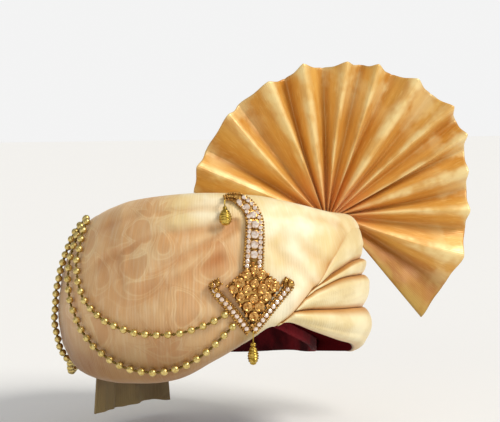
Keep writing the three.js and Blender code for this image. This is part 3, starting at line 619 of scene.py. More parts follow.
panel_brocade = brocade(
    "panel_brocade", linear(236, 212, 152), linear(206, 146, 88), linear(254, 245, 212),
    linear(214, 168, 112), motifs, peach=(linear(219, 170, 114), linear(234, 198, 146)))
declare(front_panel, panel_brocade, "panel_brocade", "front_wrap")


# The side bands
# Four long rolls of the same silk, cream side out, that leave the panel's edge at the forehead, pass round
# the wearer's left and tuck under the panel's back edge. Each one laps the one above it with a crisp fold.
crease_depth = 4.5
hem_raise = 7.0
hem_fold = 3.0
band_gap = 2.0
# The lowest band is fuller in its middle, swells towards its hem and draws in again at it
low_bulge, low_swell, low_tuck = 1.6, 2.2, 1.2
# Depth of the bands' short and long ripples, and the width in mm from which a band stands out in full
band_ripples = (0.5, 0.7)
full_width = 14.0
band_names = ["side_band_1", "side_band_2", "side_band_3", "side_band_4"]
# For each band: where its fold stands highest across it, and how far the fold stands out in mm
band_forms = [(0.35, 0.3), (0.22, 0.6), (0.25, 1.7), (0.42, 2.6)]


def band_profile(share, top, stand, depth):
    """How far a band stands off the wound form across its width: up steeply from the crease above, depth
    deep, to its fold, then a long slope down that ends under the next band."""
    climb = np.sqrt(np.clip(1 - (1 - np.clip(share / top, 0, 1)) ** 2, 0, 1))
    slope = 1 - np.clip((share - top) / (1 - top), 0, 1) ** 2.0
    return stand - np.where(share < top, (stand + depth) * (1 - climb), (stand + crease_depth) * (1 - slope))


def band_ends(upper, lower, wide):
    """The first and last angle at which a band is wide enough to be seen."""
    angles = np.linspace(-8, 192, 2001)
    seen = angles[crossing(angles, upper) - crossing(angles, lower) > wide]
    return seen[0], seen[-1]


def band_points(number, top, stand):
    """The closed section of a band run round the wearer's left: 0 to 1 over its face from the upper to
    the lower line, and 1 to 2 back along the cap. Gives its points, its uv and its shades."""
    upper, lower = number, number + 1
    first, last = band_ends(upper, lower, 1.2)
    angles = np.concatenate([
        np.linspace(first, first + 60, 130, endpoint=False), np.linspace(first + 60, last, 150)])
    across = np.concatenate([
        np.linspace(0, 0.12, 8, endpoint=False), np.linspace(0.12, 0.88, 34, endpoint=False),
        np.linspace(0.88, 1, 8), [1.01, 1.02, 1.3, 1.7, 1.98]])
    angle, share = grid(angles, across)
    shown = edge_fade(angle) if number == 1 else 1.0
    high = crossing(angle, upper) + 0.5 - 0.75 * shown
    over_arch = step(-4, 8, angle) * (1 - step(44, 68, angle))
    low = crossing(angle, lower) + (hem_raise * over_arch if lower == 5 else 0.25)
    wide = high - low
    face = np.clip(share, 0, 1)
    height = high - wide * face
    swell = np.clip(wide / full_width, 0.25, 1)
    girth = np.radians(angle) * girth_radius
    tension = (band_ripples[0] * ripple(girth * 0.5, height * 1.8, 30 + number, 26)
               + band_ripples[1] * ripple(girth * 0.6, height, 40 + number, 70))
    shape = band_profile(face, top, stand, crease_depth * shown)
    if lower == 5:
        shape = (shape + low_bulge * np.sin(math.pi * face) + low_swell * step(0.7, 0.9, face)
                 - low_tuck * step(0.94, 1.0, face))
    out = wound_radius(angle, height) + swell * shape + tension * np.sin(math.pi * face)
    back = np.clip(share - 1, 0, 1)
    inside_z = low + wide * back
    inside = seat_radius(angle, inside_z, band_gap)
    radius = np.where(share <= 1, out, np.where(share < 1.015, out - hem_fold, inside))
    points = polar(radius, angle, np.where(share <= 1, height, inside_z))
    uv = np.stack([girth + height * 0.35, height + 150.0 * number], axis=-1)
    # Painted shade along the crease under the band above, along the lower edge tucked under the next band,
    # and towards the lowest band's hem.
    crease = shown * (1 - step(0, 0.5 * top + 0.06, face))
    crease = crease + (0.5 * step(0.9, 1.0, face) if lower == 5 else 0.8 * step(0.82, 1.0, face))
    lined = (share > 1.005) * (1.0 if lower == 5 else 0.0)
    return points, uv, {"crease": np.clip(crease, 0, 1), "lined": lined}


band_brocade = brocade(
    "band_brocade", linear(229, 206, 148), linear(212, 172, 108), linear(246, 232, 186), linear(206, 156, 96),
    None, roughness=0.36, line_strength=0.14)
for number, (band_name, form) in enumerate(zip(band_names, band_forms), start=1):
    points, uv, shades = band_points(number, *form)
    band_piece = grid_piece(band_name, points, uv, close_v=True, ends=True, shades=shades)
    declare(band_piece, band_brocade, "band_brocade", f"side_fold_{number}")


# The crown
# A disc of the same silk, gathered in flat pleats towards its middle, that closes the top inside the crest.
# It lies on the cap, and its edge is held under the panel's turned-in edge.
crown_top = 83.0
crown_pleats = 26


def crown_surface(angle, share):
    """Height over the middle: a shallow dome from the turned-in edge, with pleats that sharpen outwards."""
    edge = turned_edge(angle) - 1
    wave = np.abs(np.sin(np.radians(angle) * crown_pleats / 2 + 0.5 * np.sin(np.radians(angle) * 3)))
    pleat = 1.4 * (wave - 0.6) * step(0.02, 0.35, share) * (1 - 0.4 * share)
    return edge + (crown_top - edge) * (1 - share**2) + pleat


crown_angles = np.linspace(-180, 180, 468, endpoint=False)
crown_shares = np.concatenate([[0.002], np.linspace(0.04, 1, 40)])
crown_angle, crown_share_at = grid(crown_angles, crown_shares)
crown_radius = crown_share_at * crown_share * head_radius(crown_angle, cap_wall)
crown_upper = polar(crown_radius, crown_angle, crown_surface(crown_angle, crown_share_at))
cap_top_z = np.interp(crown_share_at * crown_share, cap_corners_share[:0:-1], cap_corners_z[:0:-1]) + 0.5
crown_lower = polar(crown_radius, crown_angle, cap_top_z)
crown_points = np.concatenate([crown_upper, crown_lower[:, ::-8]], axis=1)
crown_piece = grid_piece("crown", crown_points, crown_points[..., :2], close_u=True, poles=True)
declare(crown_piece, band_brocade, "band_brocade", "crown_pleats")


# The fan
# One long strip of stiff mustard satin folded to and fro and pinned where the pleats gather, so that they
# spread over the wearer's left side. It stands behind the crest, tucked in above the first band.
fan_root = np.array([108.0, -1.0, 67.0])
fan_facing = math.radians(-21)
fan_cloth = 1.5
fan_tuck = 2.0
fan_root_radius, fan_root_depth, fan_outer_depth = 0.5, 4.0, 13.5
# The pleats are gathered along a short line: how far along it each one starts, by its direction
root_turns, root_across = [8, 90, 172], [9, 0, -8]
fan_steps = 12
fan_curls = (1.5, 0.5)
fan_bow = 1.8
fan_dip = 1.6
# Each fold: direction in degrees, reach in mm, and -1 where it lies behind, 1 where it stands in front
fan_folds = np.array([
    [170, 115, -1], [159, 119, 1], [151, 117, -1], [134.4, 121, 1], [128, 121, -1], [114, 125, 1],
    [106.8, 122, -1], [99.4, 131, 1], [91.6, 126, -1], [83, 132, 1], [77, 132, -1], [71.5, 136, 1],
    [65, 133, -1], [56.5, 140, 1], [49, 138, -1], [40.8, 143, 1], [36, 139, -1], [30, 139, 1],
    [25, 133, -1], [17.5, 127.5, 1], [10, 125, -1], [2, 123.5, 1], [-6, 123, -1], [-17, 124, 1],
    [-31, 121, -1], [-47, 120, 1],
])


def fan_place(fold, distance, half):
    """A point of the fan: out along the fold's direction, and to and fro across it by a wave between a
    triangle's and a sine's, deeper with the root of the distance. half lifts it to a face of the cloth."""
    index = np.arange(len(fan_folds))
    turn = np.radians(np.interp(fold, index, fan_folds[:, 0]))
    gather = np.interp(np.degrees(turn), root_turns, root_across)
    reach = np.interp(fold, index, fan_folds[:, 1])
    wave = -np.cos(math.pi * fold)
    wave = 0.6 * wave + 0.4 * 2 / math.pi * np.arcsin(np.clip(wave, -1, 1))
    share = distance / reach
    depth = fan_root_depth + (fan_outer_depth - fan_root_depth) * np.sqrt(np.clip(share, 0, 1))
    curl = fan_curls[0] * ripple(fold * 9.0, distance * 0.5, 81, 60) * share
    curl = curl + fan_curls[1] * ripple(fold * 9, distance, 82, 24) * share
    out = wave * depth / 2 + curl + half
    bow = fan_bow * np.sin(fold * 2.1 + 1.0) * np.sin(math.pi * np.clip(share, 0, 1))
    x_step = gather * (1 - share) + distance * np.cos(turn) - bow * np.sin(turn)
    z_step = distance * np.sin(turn) + bow * np.cos(turn)
    return np.stack([
        fan_root[0] + x_step * math.cos(fan_facing) + out * math.sin(fan_facing),
        fan_root[1] + x_step * math.sin(fan_facing) - out * math.cos(fan_facing),
        fan_root[2] + z_step], axis=-1)


def in_cloth(points, clear):
    """Whether points lie in the wound cloth, its crown or its bands, or nearer to them than clear."""
    angle = np.degrees(np.arctan2(points[..., 0], -points[..., 1]))
    radius = np.hypot(points[..., 0], points[..., 1])
    crest_r, crest_z = wound(angle)[:2]
    crown_edge = crown_share * head_radius(angle, cap_wall)
    inward = np.clip((crest_r - radius) / (crest_r - crown_edge), 0, 1)
    lip = crest_z - (crest_z - turned_edge(angle)) * (1 - np.sqrt(np.clip(1 - inward**2.2, 0, 1)))
    top = np.where(radius < crown_edge, crown_surface(angle, radius / crown_edge), lip)
    beside = (points[..., 2] < crest_z + clear) & (
        radius < wound_radius(angle, np.minimum(points[..., 2], crest_z)) + 3.0 + clear)
    return np.where(radius <= crest_r, points[..., 2] < top + clear, beside)


fan_columns = np.linspace(0, len(fan_folds) - 1, (len(fan_folds) - 1) * fan_steps + 1)
fan_tries = np.arange(fan_root_radius, 116, 0.5)
fan_covered = in_cloth(fan_place(fan_columns[:, None], fan_tries[None, :], 0.0), -fan_tuck)
fan_start = fan_tries[np.argmin(fan_covered, axis=1)]
fan_end = np.interp(fan_columns, np.arange(len(fan_folds)), fan_folds[:, 1])
fan_end = fan_end - fan_dip * np.sin(math.pi * fan_columns) ** 2
fan_share = np.linspace(0, 1, 72)
fan_distance = fan_start[:, None] + (fan_end - fan_start)[:, None] * fan_share[None, :]
fan_fold_at = np.broadcast_to(fan_columns[:, None], fan_distance.shape)
fan_front = fan_place(fan_fold_at, fan_distance, fan_cloth / 2)
fan_back = fan_place(fan_fold_at, fan_distance, -fan_cloth / 2)
fan_points = np.concatenate([fan_front, fan_back[:, ::-1]], axis=1)
fan_run = np.concatenate([fan_distance, fan_distance[:, ::-1]], axis=1)
fan_across = run_along(fan_front[:, -1])
fan_uv = np.stack([np.broadcast_to(fan_across[:, None], fan_run.shape), fan_run], axis=-1)
fan_wave = np.broadcast_to((-np.cos(math.pi * fan_columns))[:, None], fan_run.shape)
# The kept numbers: where each fold stands, how far out, and the last pleat, which the material darkens as
# painted shade.
fan = grid_piece("pleated_fan", fan_points, fan_uv, close_v=True, ends=True,
                 shades={"ridge": fan_wave * 0.5 + 0.5, "reach": fan_run / 130,
                         "last": np.broadcast_to(step(23.6, 24.4, fan_columns)[:, None], fan_run.shape)})

fan_satin, add, sums, band, mix, give = new_material("fan_satin")
fan_map = add("ShaderNodeUVMap", uv_map="cloth").outputs[0]
ridge = kept(add, "ridge")
reach = kept(add, "reach")
fan_long = add("ShaderNodeMapping", {"Vector": fan_map, "Scale": (3.0, 0.7, 1.0)}).outputs[0]
fan_cloud = noise(add, fan_long, 16.0, 4.0, 0.6)
fan_slant = add("ShaderNodeMapping", {
    "Vector": fan_map, "Rotation": (0, 0, 0.6), "Scale": (6.0, 1.0, 1.0)}).outputs[0]
fan_streak = noise(add, fan_slant, 90.0, 3.0)
fan_patch = noise(add, fan_map, 34.0, 3.0)
fan_colour = mix(band(fan_cloud, 0.3, 0.7), linear(208, 142, 52), linear(234, 180, 88))
fan_colour = mix(band(fan_streak, 0.5, 0.75, 0.0, 0.4), fan_colour, linear(248, 214, 132))
# Painted shade in the pleats' valleys.
fan_colour = mix(band(ridge, 0.4, 0.0, 0.0, 0.45), fan_colour, linear(176, 104, 28))
# Painted highlights along the ridges and in patches near the hem.
ridge_light = sums("MULTIPLY", band(ridge, 0.62, 0.98), band(fan_patch, 0.36, 0.58, 0.15, 0.75))
fan_colour = mix(ridge_light, fan_colour, linear(254, 230, 164))
hem_light = sums("MULTIPLY", band(reach, 0.6, 0.95), band(fan_patch, 0.46, 0.62, 0.0, 0.5))
fan_colour = mix(hem_light, fan_colour, linear(254, 232, 168))
fan_colour = mix(band(reach, 0.42, 0.08, 0.0, 0.6), fan_colour, linear(232, 156, 92))
# Painted shade over the last pleat.
last_pleat_shade = kept(add, "last")
fan_colour = mix(last_pleat_shade, fan_colour, linear(186, 168, 120), blend="MULTIPLY")
give(fan_colour, "Base Color")
give(sums("ADD", 0.24, sums("MULTIPLY", fan_cloud, 0.22)), "Roughness")
give(weave_bump(add, sums, fan_map, 0.0009, 0.3, sums("MULTIPLY", fan_streak, 1.2)).outputs[0], "Normal")
give(0.15, "Metallic")
give(0.3, "Sheen Weight")
give(0.35, "Sheen Roughness")
give((1.0, 0.85, 0.5, 1.0), "Sheen Tint")
declare(fan, fan_satin, "fan_satin", "fan")


# The tail
# The end of the wound cloth, a short and narrow length of the silk darkened as painted shade. It is tucked up
# under the back rim on the wearer's right and hangs from there in soft upright folds.
tail_from, tail_to, tail_bottom = -139.0, -181.0, -106.0
tail_radius, tail_cloth, tail_flare = 106.0, 1.6, 1.08
tail_folds, tail_hem = (2.4, 0.9), 0.8
tail_width, tail_length = 88, 48
tail_columns = np.linspace(0, 1, 90)
tail_rows = np.linspace(0, 1, 40)
tail_across, tail_down = grid(tail_columns, tail_rows)


def tail_face(across, down, extra):
    """The tail: an arc under the rim that flares downwards, with upright folds that deepen as it falls
    and a hem that rises and dips a little."""
    angle = tail_from + (tail_to - tail_from) * across
    middle = (tail_from + tail_to) / 2
    flared = middle + (angle - middle) * (1 + (tail_flare - 1) * down)
    fold = tail_folds[0] * np.cos(across * 15.0 + 0.6) + tail_folds[1] * np.cos(across * 37.0)
    fold = fold * (0.25 + 0.75 * down)
    top = wound(angle)[5] - 0.5
    height = top + (tail_bottom + tail_hem * np.sin(across * 11) + tail_hem - top) * down
    return polar(tail_radius + fold + extra, flared, height)


tail_front = tail_face(tail_across, tail_down, tail_cloth)
tail_behind = tail_face(tail_across, tail_down, 0.0)
tail_points = np.concatenate([tail_front, tail_behind[:, ::-1]], axis=1)
tail_run = np.concatenate([tail_down, tail_down[:, ::-1]], axis=1) * tail_length
tail_uv = np.stack([np.concatenate([tail_across, tail_across], axis=1) * tail_width, tail_run], axis=-1)
# Painted shade over the whole tail, darkest at its top under the back rim.
tail = grid_piece("hanging_tail", tail_points, tail_uv, close_v=True, ends=True,
                  shades={"crease": 0.35 + 0.4 * (1 - tail_run / tail_length)})
# The silk's colours darkened as painted shade.
tail_brocade = brocade(
    "tail_brocade", linear(150, 128, 82), linear(120, 92, 50), linear(190, 168, 112), linear(150, 112, 70),
    None, roughness=0.45, line_strength=0.2)
declare(tail, tail_brocade, "tail_brocade", "tail")


# The bead strings
# Antique gold beads on a thread with a small dark bead between each two. They gather at the back of the
# wearer's right side: two swags run over the panel to the brooch and one hangs round the back.
bead_radius, bead_lift = 2.95, 0.35
bead_pitches = {"upper": 8.7, "lower": 8.7, "back": 6.6}
spacer_radius, thread_radius = 1.15, 0.6
# The routes over the cloth: angle and height of each point
bead_routes = {
    "upper": [(-86.5, 69), (-80.5, 54), (-78.5, 39), (-75, 26), (-68.5, 12), (-60, 3), (-50.5, -3.2),
              (-42, -4.2), (-33, -2.3), (-25.5, 3), (-18.5, 11.5)],
    "lower": [(-93.5, 70), (-88.5, 56), (-87, 42), (-84.5, 26), (-79.5, 10.5), (-73, -6), (-64.5, -19.3),
              (-54.5, -29.6), (-44, -32.3), (-34, -27.6), (-24.7, -16), (-16, 3)],
    "back": [(-101, 68), (-99.5, 54), (-99, 36), (-101, 12), (-103.5, -14), (-107.5, -40), (-115, -57),
             (-123, -60), (-133, -54), (-141, -38), (-148, -12), (-154, 16), (-158, 44)],
}


def on_cloth(angle, height, lift):
    """Points above the panel, lifted the way it faces there, which is across the two slopes of its
    surface. Below the rim they hang straight down from it."""
    low = wound(angle)[5] + 4
    level = np.maximum(height, low)

    def at(turn, z):
        return polar(panel_out(turn, z), turn, z)

    facing = np.cross(at(angle + 1, level) - at(angle - 1, level),
                      at(angle, level + 1) - at(angle, level - 1))
    hangs = (height < low)[:, None]
    facing = np.where(hangs, polar(1.0, angle, 0.0), facing)
    facing = facing / np.linalg.norm(facing, axis=1, keepdims=True)
    points = at(angle, level) + facing * lift
    return np.where(hangs, polar(panel_out(angle, low) + lift, angle, height), points)


def numbered(rows):
    """A table's rows with their numbers in front, and one more row at each end, straight on."""
    rows = np.array(rows, float)
    rows = np.concatenate([[2 * rows[0] - rows[1]], rows, [2 * rows[-1] - rows[-2]]])
    return np.column_stack([np.arange(len(rows)) - 1, rows])


def on_string(points, run, distance):
    """Places on a string and the way it runs there, by the distance along it."""
    here, near = (np.stack([np.interp(np.clip(d, 0, run[-1]), run, points[:, k]) for k in range(3)], axis=-1)
                  for d in (distance, distance + 0.5))
    return here, near - here + 1e-6


def ring_quads(index):
    """Quads between the rings of a body's points, each ring closed on itself."""
    after = np.roll(index, -1, axis=1)
    return np.stack([index[:-1], after[:-1], after[1:], index[1:]], axis=-1).reshape(-1, 4)


def turned_form(profile, sides):
    """A form turned about Z from rows of radius and height, the first and last on the axis: its points,
    triangles and quads."""
    turn = np.linspace(0, 2 * math.pi, sides, endpoint=False)
    radius = np.repeat(np.array(profile)[1:-1, 0][:, None], sides, axis=1)
    height = np.broadcast_to(np.array(profile)[1:-1, 1][:, None], radius.shape)
    rings = np.stack([radius * np.cos(turn), radius * np.sin(turn), height], axis=-1)
    points = np.concatenate([[[0, 0, profile[0][1]]], rings.reshape(-1, 3), [[0, 0, profile[-1][1]]]])
    index = 1 + np.arange(rings.shape[0] * sides).reshape(-1, sides)
    after = np.roll(index, -1, axis=1)
    low = np.stack([np.zeros(sides, int), after[0], index[0]], axis=-1)
    high = np.stack([np.full(sides, len(points) - 1), index[-1], after[-1]], axis=-1)
    return points, np.concatenate([low, high]), ring_quads(index)


def frames(axis, side):
    """A turned form's three directions at each place: its axis last, the first as near to side as may be."""
    axis = axis / np.linalg.norm(axis, axis=-1, keepdims=True)
    side = side - (side * axis).sum(-1, keepdims=True) * axis
    side = side / np.linalg.norm(side, axis=-1, keepdims=True)
    return np.stack([side, np.cross(axis, side), axis], axis=-2)


def copies(form, places, turns, sizes, shade):
    """Many copies of a form: each one scaled, turned by its frame and moved, with a number kept on it."""
    points, triangles, quads = form
    sizes = np.broadcast_to(sizes, len(places))
    moved = places[:, None] + sizes[:, None, None] * np.einsum("pk,nkj->npj", points, turns)
    first = (np.arange(len(places)) * len(points))[:, None, None]
    return (moved.reshape(-1, 3), (triangles[None] + first).reshape(-1, 3),
            (quads[None] + first).reshape(-1, 4), np.full(len(places) * len(points), float(shade)))


def joined_piece(name, parts, facets=False):
    """One mesh of several sets of copies, with their numbers in the attribute kind."""
    first, faces = 0, []
    for points, triangles, quads, _ in parts:
        faces += (triangles + first).tolist() + (quads + first).tolist()
        first += len(points)
    mesh = bpy.data.meshes.new(name)
    mesh.from_pydata((np.concatenate([part[0] for part in parts]) * 0.001).tolist(), [], faces)
    kind = mesh.attributes.new("kind", "FLOAT", "POINT")
    kind.data.foreach_set("value", np.concatenate([part[3] for part in parts]).astype(np.float32))
    piece = bpy.data.objects.new(name, mesh)
    bpy.context.collection.objects.link(piece)
    if facets:
        mesh.shade_flat()
    else:
        mesh.shade_smooth()
    return piece


def tube_along(points, radius, sides, shade):
    """A closed tube of one radius along a line of points."""
    along = np.gradient(points, axis=0)
    turns = frames(along, np.broadcast_to([0.3, 0.2, 1.0], points.shape))
    turn = np.linspace(0, 2 * math.pi, sides, endpoint=False)
    ring = np.stack([np.cos(turn), np.sin(turn), 0 * turn], axis=-1) * radius
    body = points[:, None] + np.einsum("sk,nkj->nsj", ring, turns)
    index = np.arange(len(points) * sides).reshape(-1, sides)
    low = np.stack([np.full(sides - 2, index[0, 0]), index[0, 2:], index[0, 1:-1]], axis=-1)
    high = np.stack([np.full(sides - 2, index[-1, 0]), index[-1, 1:-1], index[-1, 2:]], axis=-1)
    shades = np.full(body.size // 3, float(shade))
    return body.reshape(-1, 3), np.concatenate([low, high]), ring_quads(index), shades


def ball(rows):
    """Profile of a ball of radius one."""
    rise = np.linspace(-math.pi / 2, math.pi / 2, rows)
    return np.stack([np.cos(rise), np.sin(rise)], axis=-1).tolist()


def plated(name, scale, detail, colours, rough, relief, metallic, second=()):
    """Plated metal whose tone, roughness and bump follow one fine noise. colours are its dark and its light
    tone, rough its roughness and how much that varies, relief the bump's strength and depth. second is
    the colour, or the two tones, of what has the kind 1."""
    material, add, sums, band, mix, give = new_material(name)
    tone = noise(add, add("ShaderNodeTexCoord").outputs["Object"], scale, detail)
    colour = mix(band(tone, 0.35, 0.65), *colours)
    if second:
        toned = second[0] if len(second) == 1 else mix(band(tone, 0.35, 0.6), *second)
        colour = mix(kept(add, "kind"), colour, toned)
    give(colour, "Base Color")
    give(sums("ADD", rough[0], sums("MULTIPLY", tone, rough[1])), "Roughness")
    bump = add("ShaderNodeBump", {"Height": tone, "Strength": relief[0], "Distance": relief[1]})
    give(bump.outputs[0], "Normal")
    give(metallic, "Metallic")
    return material


bead_gold = plated(
    "bead_gold", 700.0, 3.0, (linear(196, 168, 92), linear(234, 212, 142)), (0.24, 0.2), (0.25, 0.0003), 1.0,
    second=[linear(120, 98, 46)])
for string_name, route in bead_routes.items():
    route = numbered(route)
    stops = np.linspace(0, len(route) - 3, 700)
    string_points = on_cloth(
        smooth_rows(route, 1, stops), smooth_rows(route, 2, stops), bead_radius + bead_lift)
    string_run = run_along(string_points)
    bead_count = int(string_run[-1] // bead_pitches[string_name])
    pitch = string_run[-1] / bead_count
    bead_places, bead_ways = on_string(string_points, string_run, np.arange(bead_count + 1) * pitch)
    spacer_places, spacer_ways = on_string(string_points, string_run, (np.arange(bead_count) + 0.5) * pitch)
    upright = np.array([[0.1, 0.2, 1.0]])
    string_piece = joined_piece(f"bead_string_{string_name}_piece", [
        copies(turned_form(ball(7), 12), bead_places, frames(bead_ways, upright), bead_radius, 0),
        copies(turned_form(ball(5), 8), spacer_places, frames(spacer_ways, upright), spacer_radius, 1),
        tube_along(string_points[::6], thread_radius, 6, 1)])
    declare(string_piece, bead_gold, "bead_gold", f"bead_string_{string_name}")


# The brooch
# A gilt kalgi pinned over the forehead: a diamond field of ring-set golden stones, two arms of small clear
# stones below it, and a stem of clear stones between beaded borders that ends in a thin hook.
brooch_height, plate_thick, plate_lift = 27.0, 1.6, 0.5
lean_start, lean_back = 78.0, 0.6
stem_line = np.array([[1, 17, 7], [2.6, 33, 6.8], [3.8, 44, 6.4], [4.4, 52, 6], [2, 60, 5.4], [-4, 65.5, 4.4],
                      [-11, 68, 2.4], [-17, 67, 1.3]])
left_arm = np.array([[-23, 8.5, 2.4], [-28, 5, 2.6], [-24.5, -1.5, 2.8], [-16.5, -10.5, 2.9],
                     [-8.8, -20, 2.9], [-1, -30, 2.6]])
right_arm = np.array([[24.5, 7.5, 2.4], [29, 4, 2.6], [25, -1.5, 2.8], [16.6, -10.5, 2.9],
                      [8.8, -20, 2.9], [1, -30, 2.6]])
# The diamond's corners: bottom, right, top and left
diamond = np.array([[0, -24], [22, 4], [1, 21], [-18, 5]], float)
stem_stones = np.array([[2, 27, 3.1], [2.6, 34, 3.2], [3.4, 41, 3.2], [4.2, 48, 3.1], [3.6, 54.6, 2.9],
                        [0, 60.2, 2.6], [-5.4, 64, 2.2]])


def on_brooch(across, up, lift):
    """Points on the brooch by mm across and up from its middle: it lies on the panel and leans back with
    the shoulder above."""
    z = brooch_height + up
    on_shoulder = np.minimum(z, lean_start)
    level = wound_radius(brooch_angle, np.maximum(on_shoulder, 0))
    angle = brooch_angle + np.degrees(across / level)
    low = np.maximum(on_shoulder, wound(angle)[5] + 4)
    edge, rim_z, crest_z = crossing(angle, 1), wound(angle)[5], wound(angle)[1]
    swell = overlap_raise * step(0, 12, edge - rim_z) * np.clip((crest_z - low) / (crest_z - edge), 0, 1) ** 2
    radius = np.maximum(wound_radius(angle, low) + swell, wound_radius(brooch_angle, low))
    return polar(radius + lift - np.maximum(z - lean_start, 0) * lean_back, angle, z)


def brooch_frames(across, up):
    """The brooch's own directions at places on it: across it, up it, and out of it."""
    right = on_brooch(across + 2, up, 0) - on_brooch(across - 2, up, 0)
    rise = on_brooch(across, up + 2, 0) - on_brooch(across, up - 2, 0)
    return frames(np.cross(right, rise), right)


def set_in(form, across, up, sizes, lift, shade):
    """Copies of a form on the brooch's face."""
    across, up = np.asarray(across, float), np.asarray(up, float)
    places = on_brooch(across, up, plate_lift + plate_thick + lift)
    return copies(form, places, brooch_frames(across, up), sizes, shade)


def line_way(across, up):
    """The way a line of the brooch runs at each of its points."""
    way = np.stack([np.gradient(across), np.gradient(up)])
    return way / np.linalg.norm(way, axis=0)


def along_line(line, spacing, aside=0.0, first=0.0, last=0.0):
    """Places evenly spaced along a line of the brooch, aside to its right by a share of its half width."""
    fine = np.linspace(0, len(line) - 1, 400)
    across, up, half = (smooth_rows(numbered(line), column, fine) for column in (1, 2, 3))
    way = line_way(across, up)
    across, up = across + aside * half * way[1], up - aside * half * way[0]
    run = np.concatenate([[0], np.cumsum(np.hypot(np.diff(across), np.diff(up)))])
    stops = np.arange(first, run[-1] - last, spacing)
    return np.interp(stops, run, across), np.interp(stops, run, up)


def plate(across, up):
    """A plate's closed sections: over its face one way and back under it the other way."""
    top, low = on_brooch(across, up, plate_lift + plate_thick), on_brooch(across, up, plate_lift)
    return np.concatenate([top, low[:, ::-1]], axis=1)


def strip_plate(line):
    """A plate along a line, as wide as the line's own half widths, five points across it."""
    share = np.linspace(0, len(line) - 1, 60)
    across, up, half = (np.interp(share, np.arange(len(line)), line[:, k]) for k in range(3))
    way = line_way(across, up)
    aside = np.linspace(-1, 1, 5) * half[:, None]
    return plate(across[:, None] + aside * way[1][:, None], up[:, None] - aside * way[0][:, None])


def slab_faces(points):
    """A closed slab's points and faces for joined_piece: rings of points joined, with both ends closed."""
    rows, columns = points.shape[:2]
    index = np.arange(rows * columns).reshape(rows, columns)
    ends = [[row[k], row[k + 1], row[columns - 2 - k], row[columns - 1 - k]]
            for row in (index[0], index[-1][::-1]) for k in range(columns // 2 - 1)]
    quads = np.concatenate([ring_quads(index), np.array(ends)])
    return points.reshape(-1, 3), np.zeros((0, 3), int), quads, np.zeros(rows * columns)


def in_diamond(u, v):
    """Places in the diamond, between its four corners."""
    weights = [(1 - u) * (1 - v), u * (1 - v), u * v, (1 - u) * v]
    return (sum(w * corner[0] for w, corner in zip(weights, diamond)),
            sum(w * corner[1] for w, corner in zip(weights, diamond)))


def diamond_places(first, second):
    """Places in the diamond at every pair of two rows of shares."""
    u, v = grid(first, second)
    return in_diamond(u.ravel(), v.ravel())


edge_shares = np.linspace(0, 1, 9)
diamond_plate = plate(*in_diamond(*grid(edge_shares, edge_shares)))
# Sizes of the seed beads: between the domes, round the diamond, along the borders and up the hook
seed_between, seed_edge, seed_border, seed_hook = 1.5, 1.2, 1.05, 1.15
# Forms of radius one: a ring-set dome, a seed bead, a cut stone's pointed base and facets, and its collet
ring_set = turned_form([(0, 0), (1, 0), (1.02, 0.45), (0.88, 0.8), (0.7, 0.7), (0.55, 0.35), (0.3, 0.5),
                        (0, 0.62)], 12)
seed_bead = turned_form(ball(4), 6)
collet = turned_form([(0, 0), (1.02, 0), (1.12, 0.3), (1.0, 0.52), (0.86, 0.4), (0, 0.3)], 12)
gilt_parts = [slab_faces(strip_plate(line)) for line in (stem_line, left_arm, right_arm)]
gilt_parts.append(slab_faces(diamond_plate))
cluster_across, cluster_up = diamond_places(*[np.linspace(0.125, 0.875, 4)] * 2)
uneven = np.random.default_rng(5)
cluster_across = cluster_across + uneven.uniform(-0.9, 0.9, len(cluster_across))
cluster_up = cluster_up + uneven.uniform(-0.9, 0.9, len(cluster_up))
cluster_sizes = uneven.uniform(3.1, 4.3, len(cluster_up))
gilt_parts.append(set_in(ring_set, cluster_across, cluster_up, cluster_sizes, -0.3, 1))
gilt_parts.append(set_in(seed_bead, *diamond_places(*[np.linspace(0, 1, 5)] * 2), seed_between, 0.9, 1))
for shares in ((edge_shares, [0.0, 1.0]), ([0.0, 1.0], edge_shares)):
    gilt_parts.append(set_in(seed_bead, *diamond_places(*shares), seed_edge, 0.7, 0))
for line, side_beads in ((stem_line, (-1.0, 1.0)), (left_arm, (-0.95, 0.95)), (right_arm, (-0.95, 0.95))):
    for aside in side_beads:
        gilt_parts.append(set_in(seed_bead, *along_line(line, 2.1, aside), seed_border, 0.2, 0))
gilt_parts.append(set_in(seed_bead, *along_line(stem_line[-4:], 1.9), seed_hook, 0.9, 0))
gilt_parts.append(set_in(collet, *stem_stones.T, -0.2, 0))
arm_rows = [along_line(arm, 4.1, 0.0, 5.5, 1.0) for arm in (left_arm, right_arm)]
arm_rows += [along_line(stem_line[:6], 3.5, aside, 1.5) for aside in (-0.64, 0.64)]
arm_places = np.concatenate(arm_rows, axis=1)
gilt_parts.append(set_in(collet, *arm_places, 1.9, -0.2, 0))
gilt_parts.append(set_in(turned_form(ball(7), 10), [-29, -24.5, -26, 29, 25.5], [6, 7, 2.5, 5, 7.5],
                         np.array([2.3, 2.1, 2.1, 2.9, 1.9]), 0.8, 0))
brooch = joined_piece("brooch_gilt_work", gilt_parts)

brooch_gilt = plated(
    "brooch_gilt", 420.0, 4.0, (linear(150, 102, 44), linear(214, 170, 92)), (0.1, 0.25), (0.4, 0.0004), 0.85,
    second=[linear(170, 110, 44), linear(228, 178, 106)])
declare(brooch, brooch_gilt, "brooch_gilt", "brooch_setting")


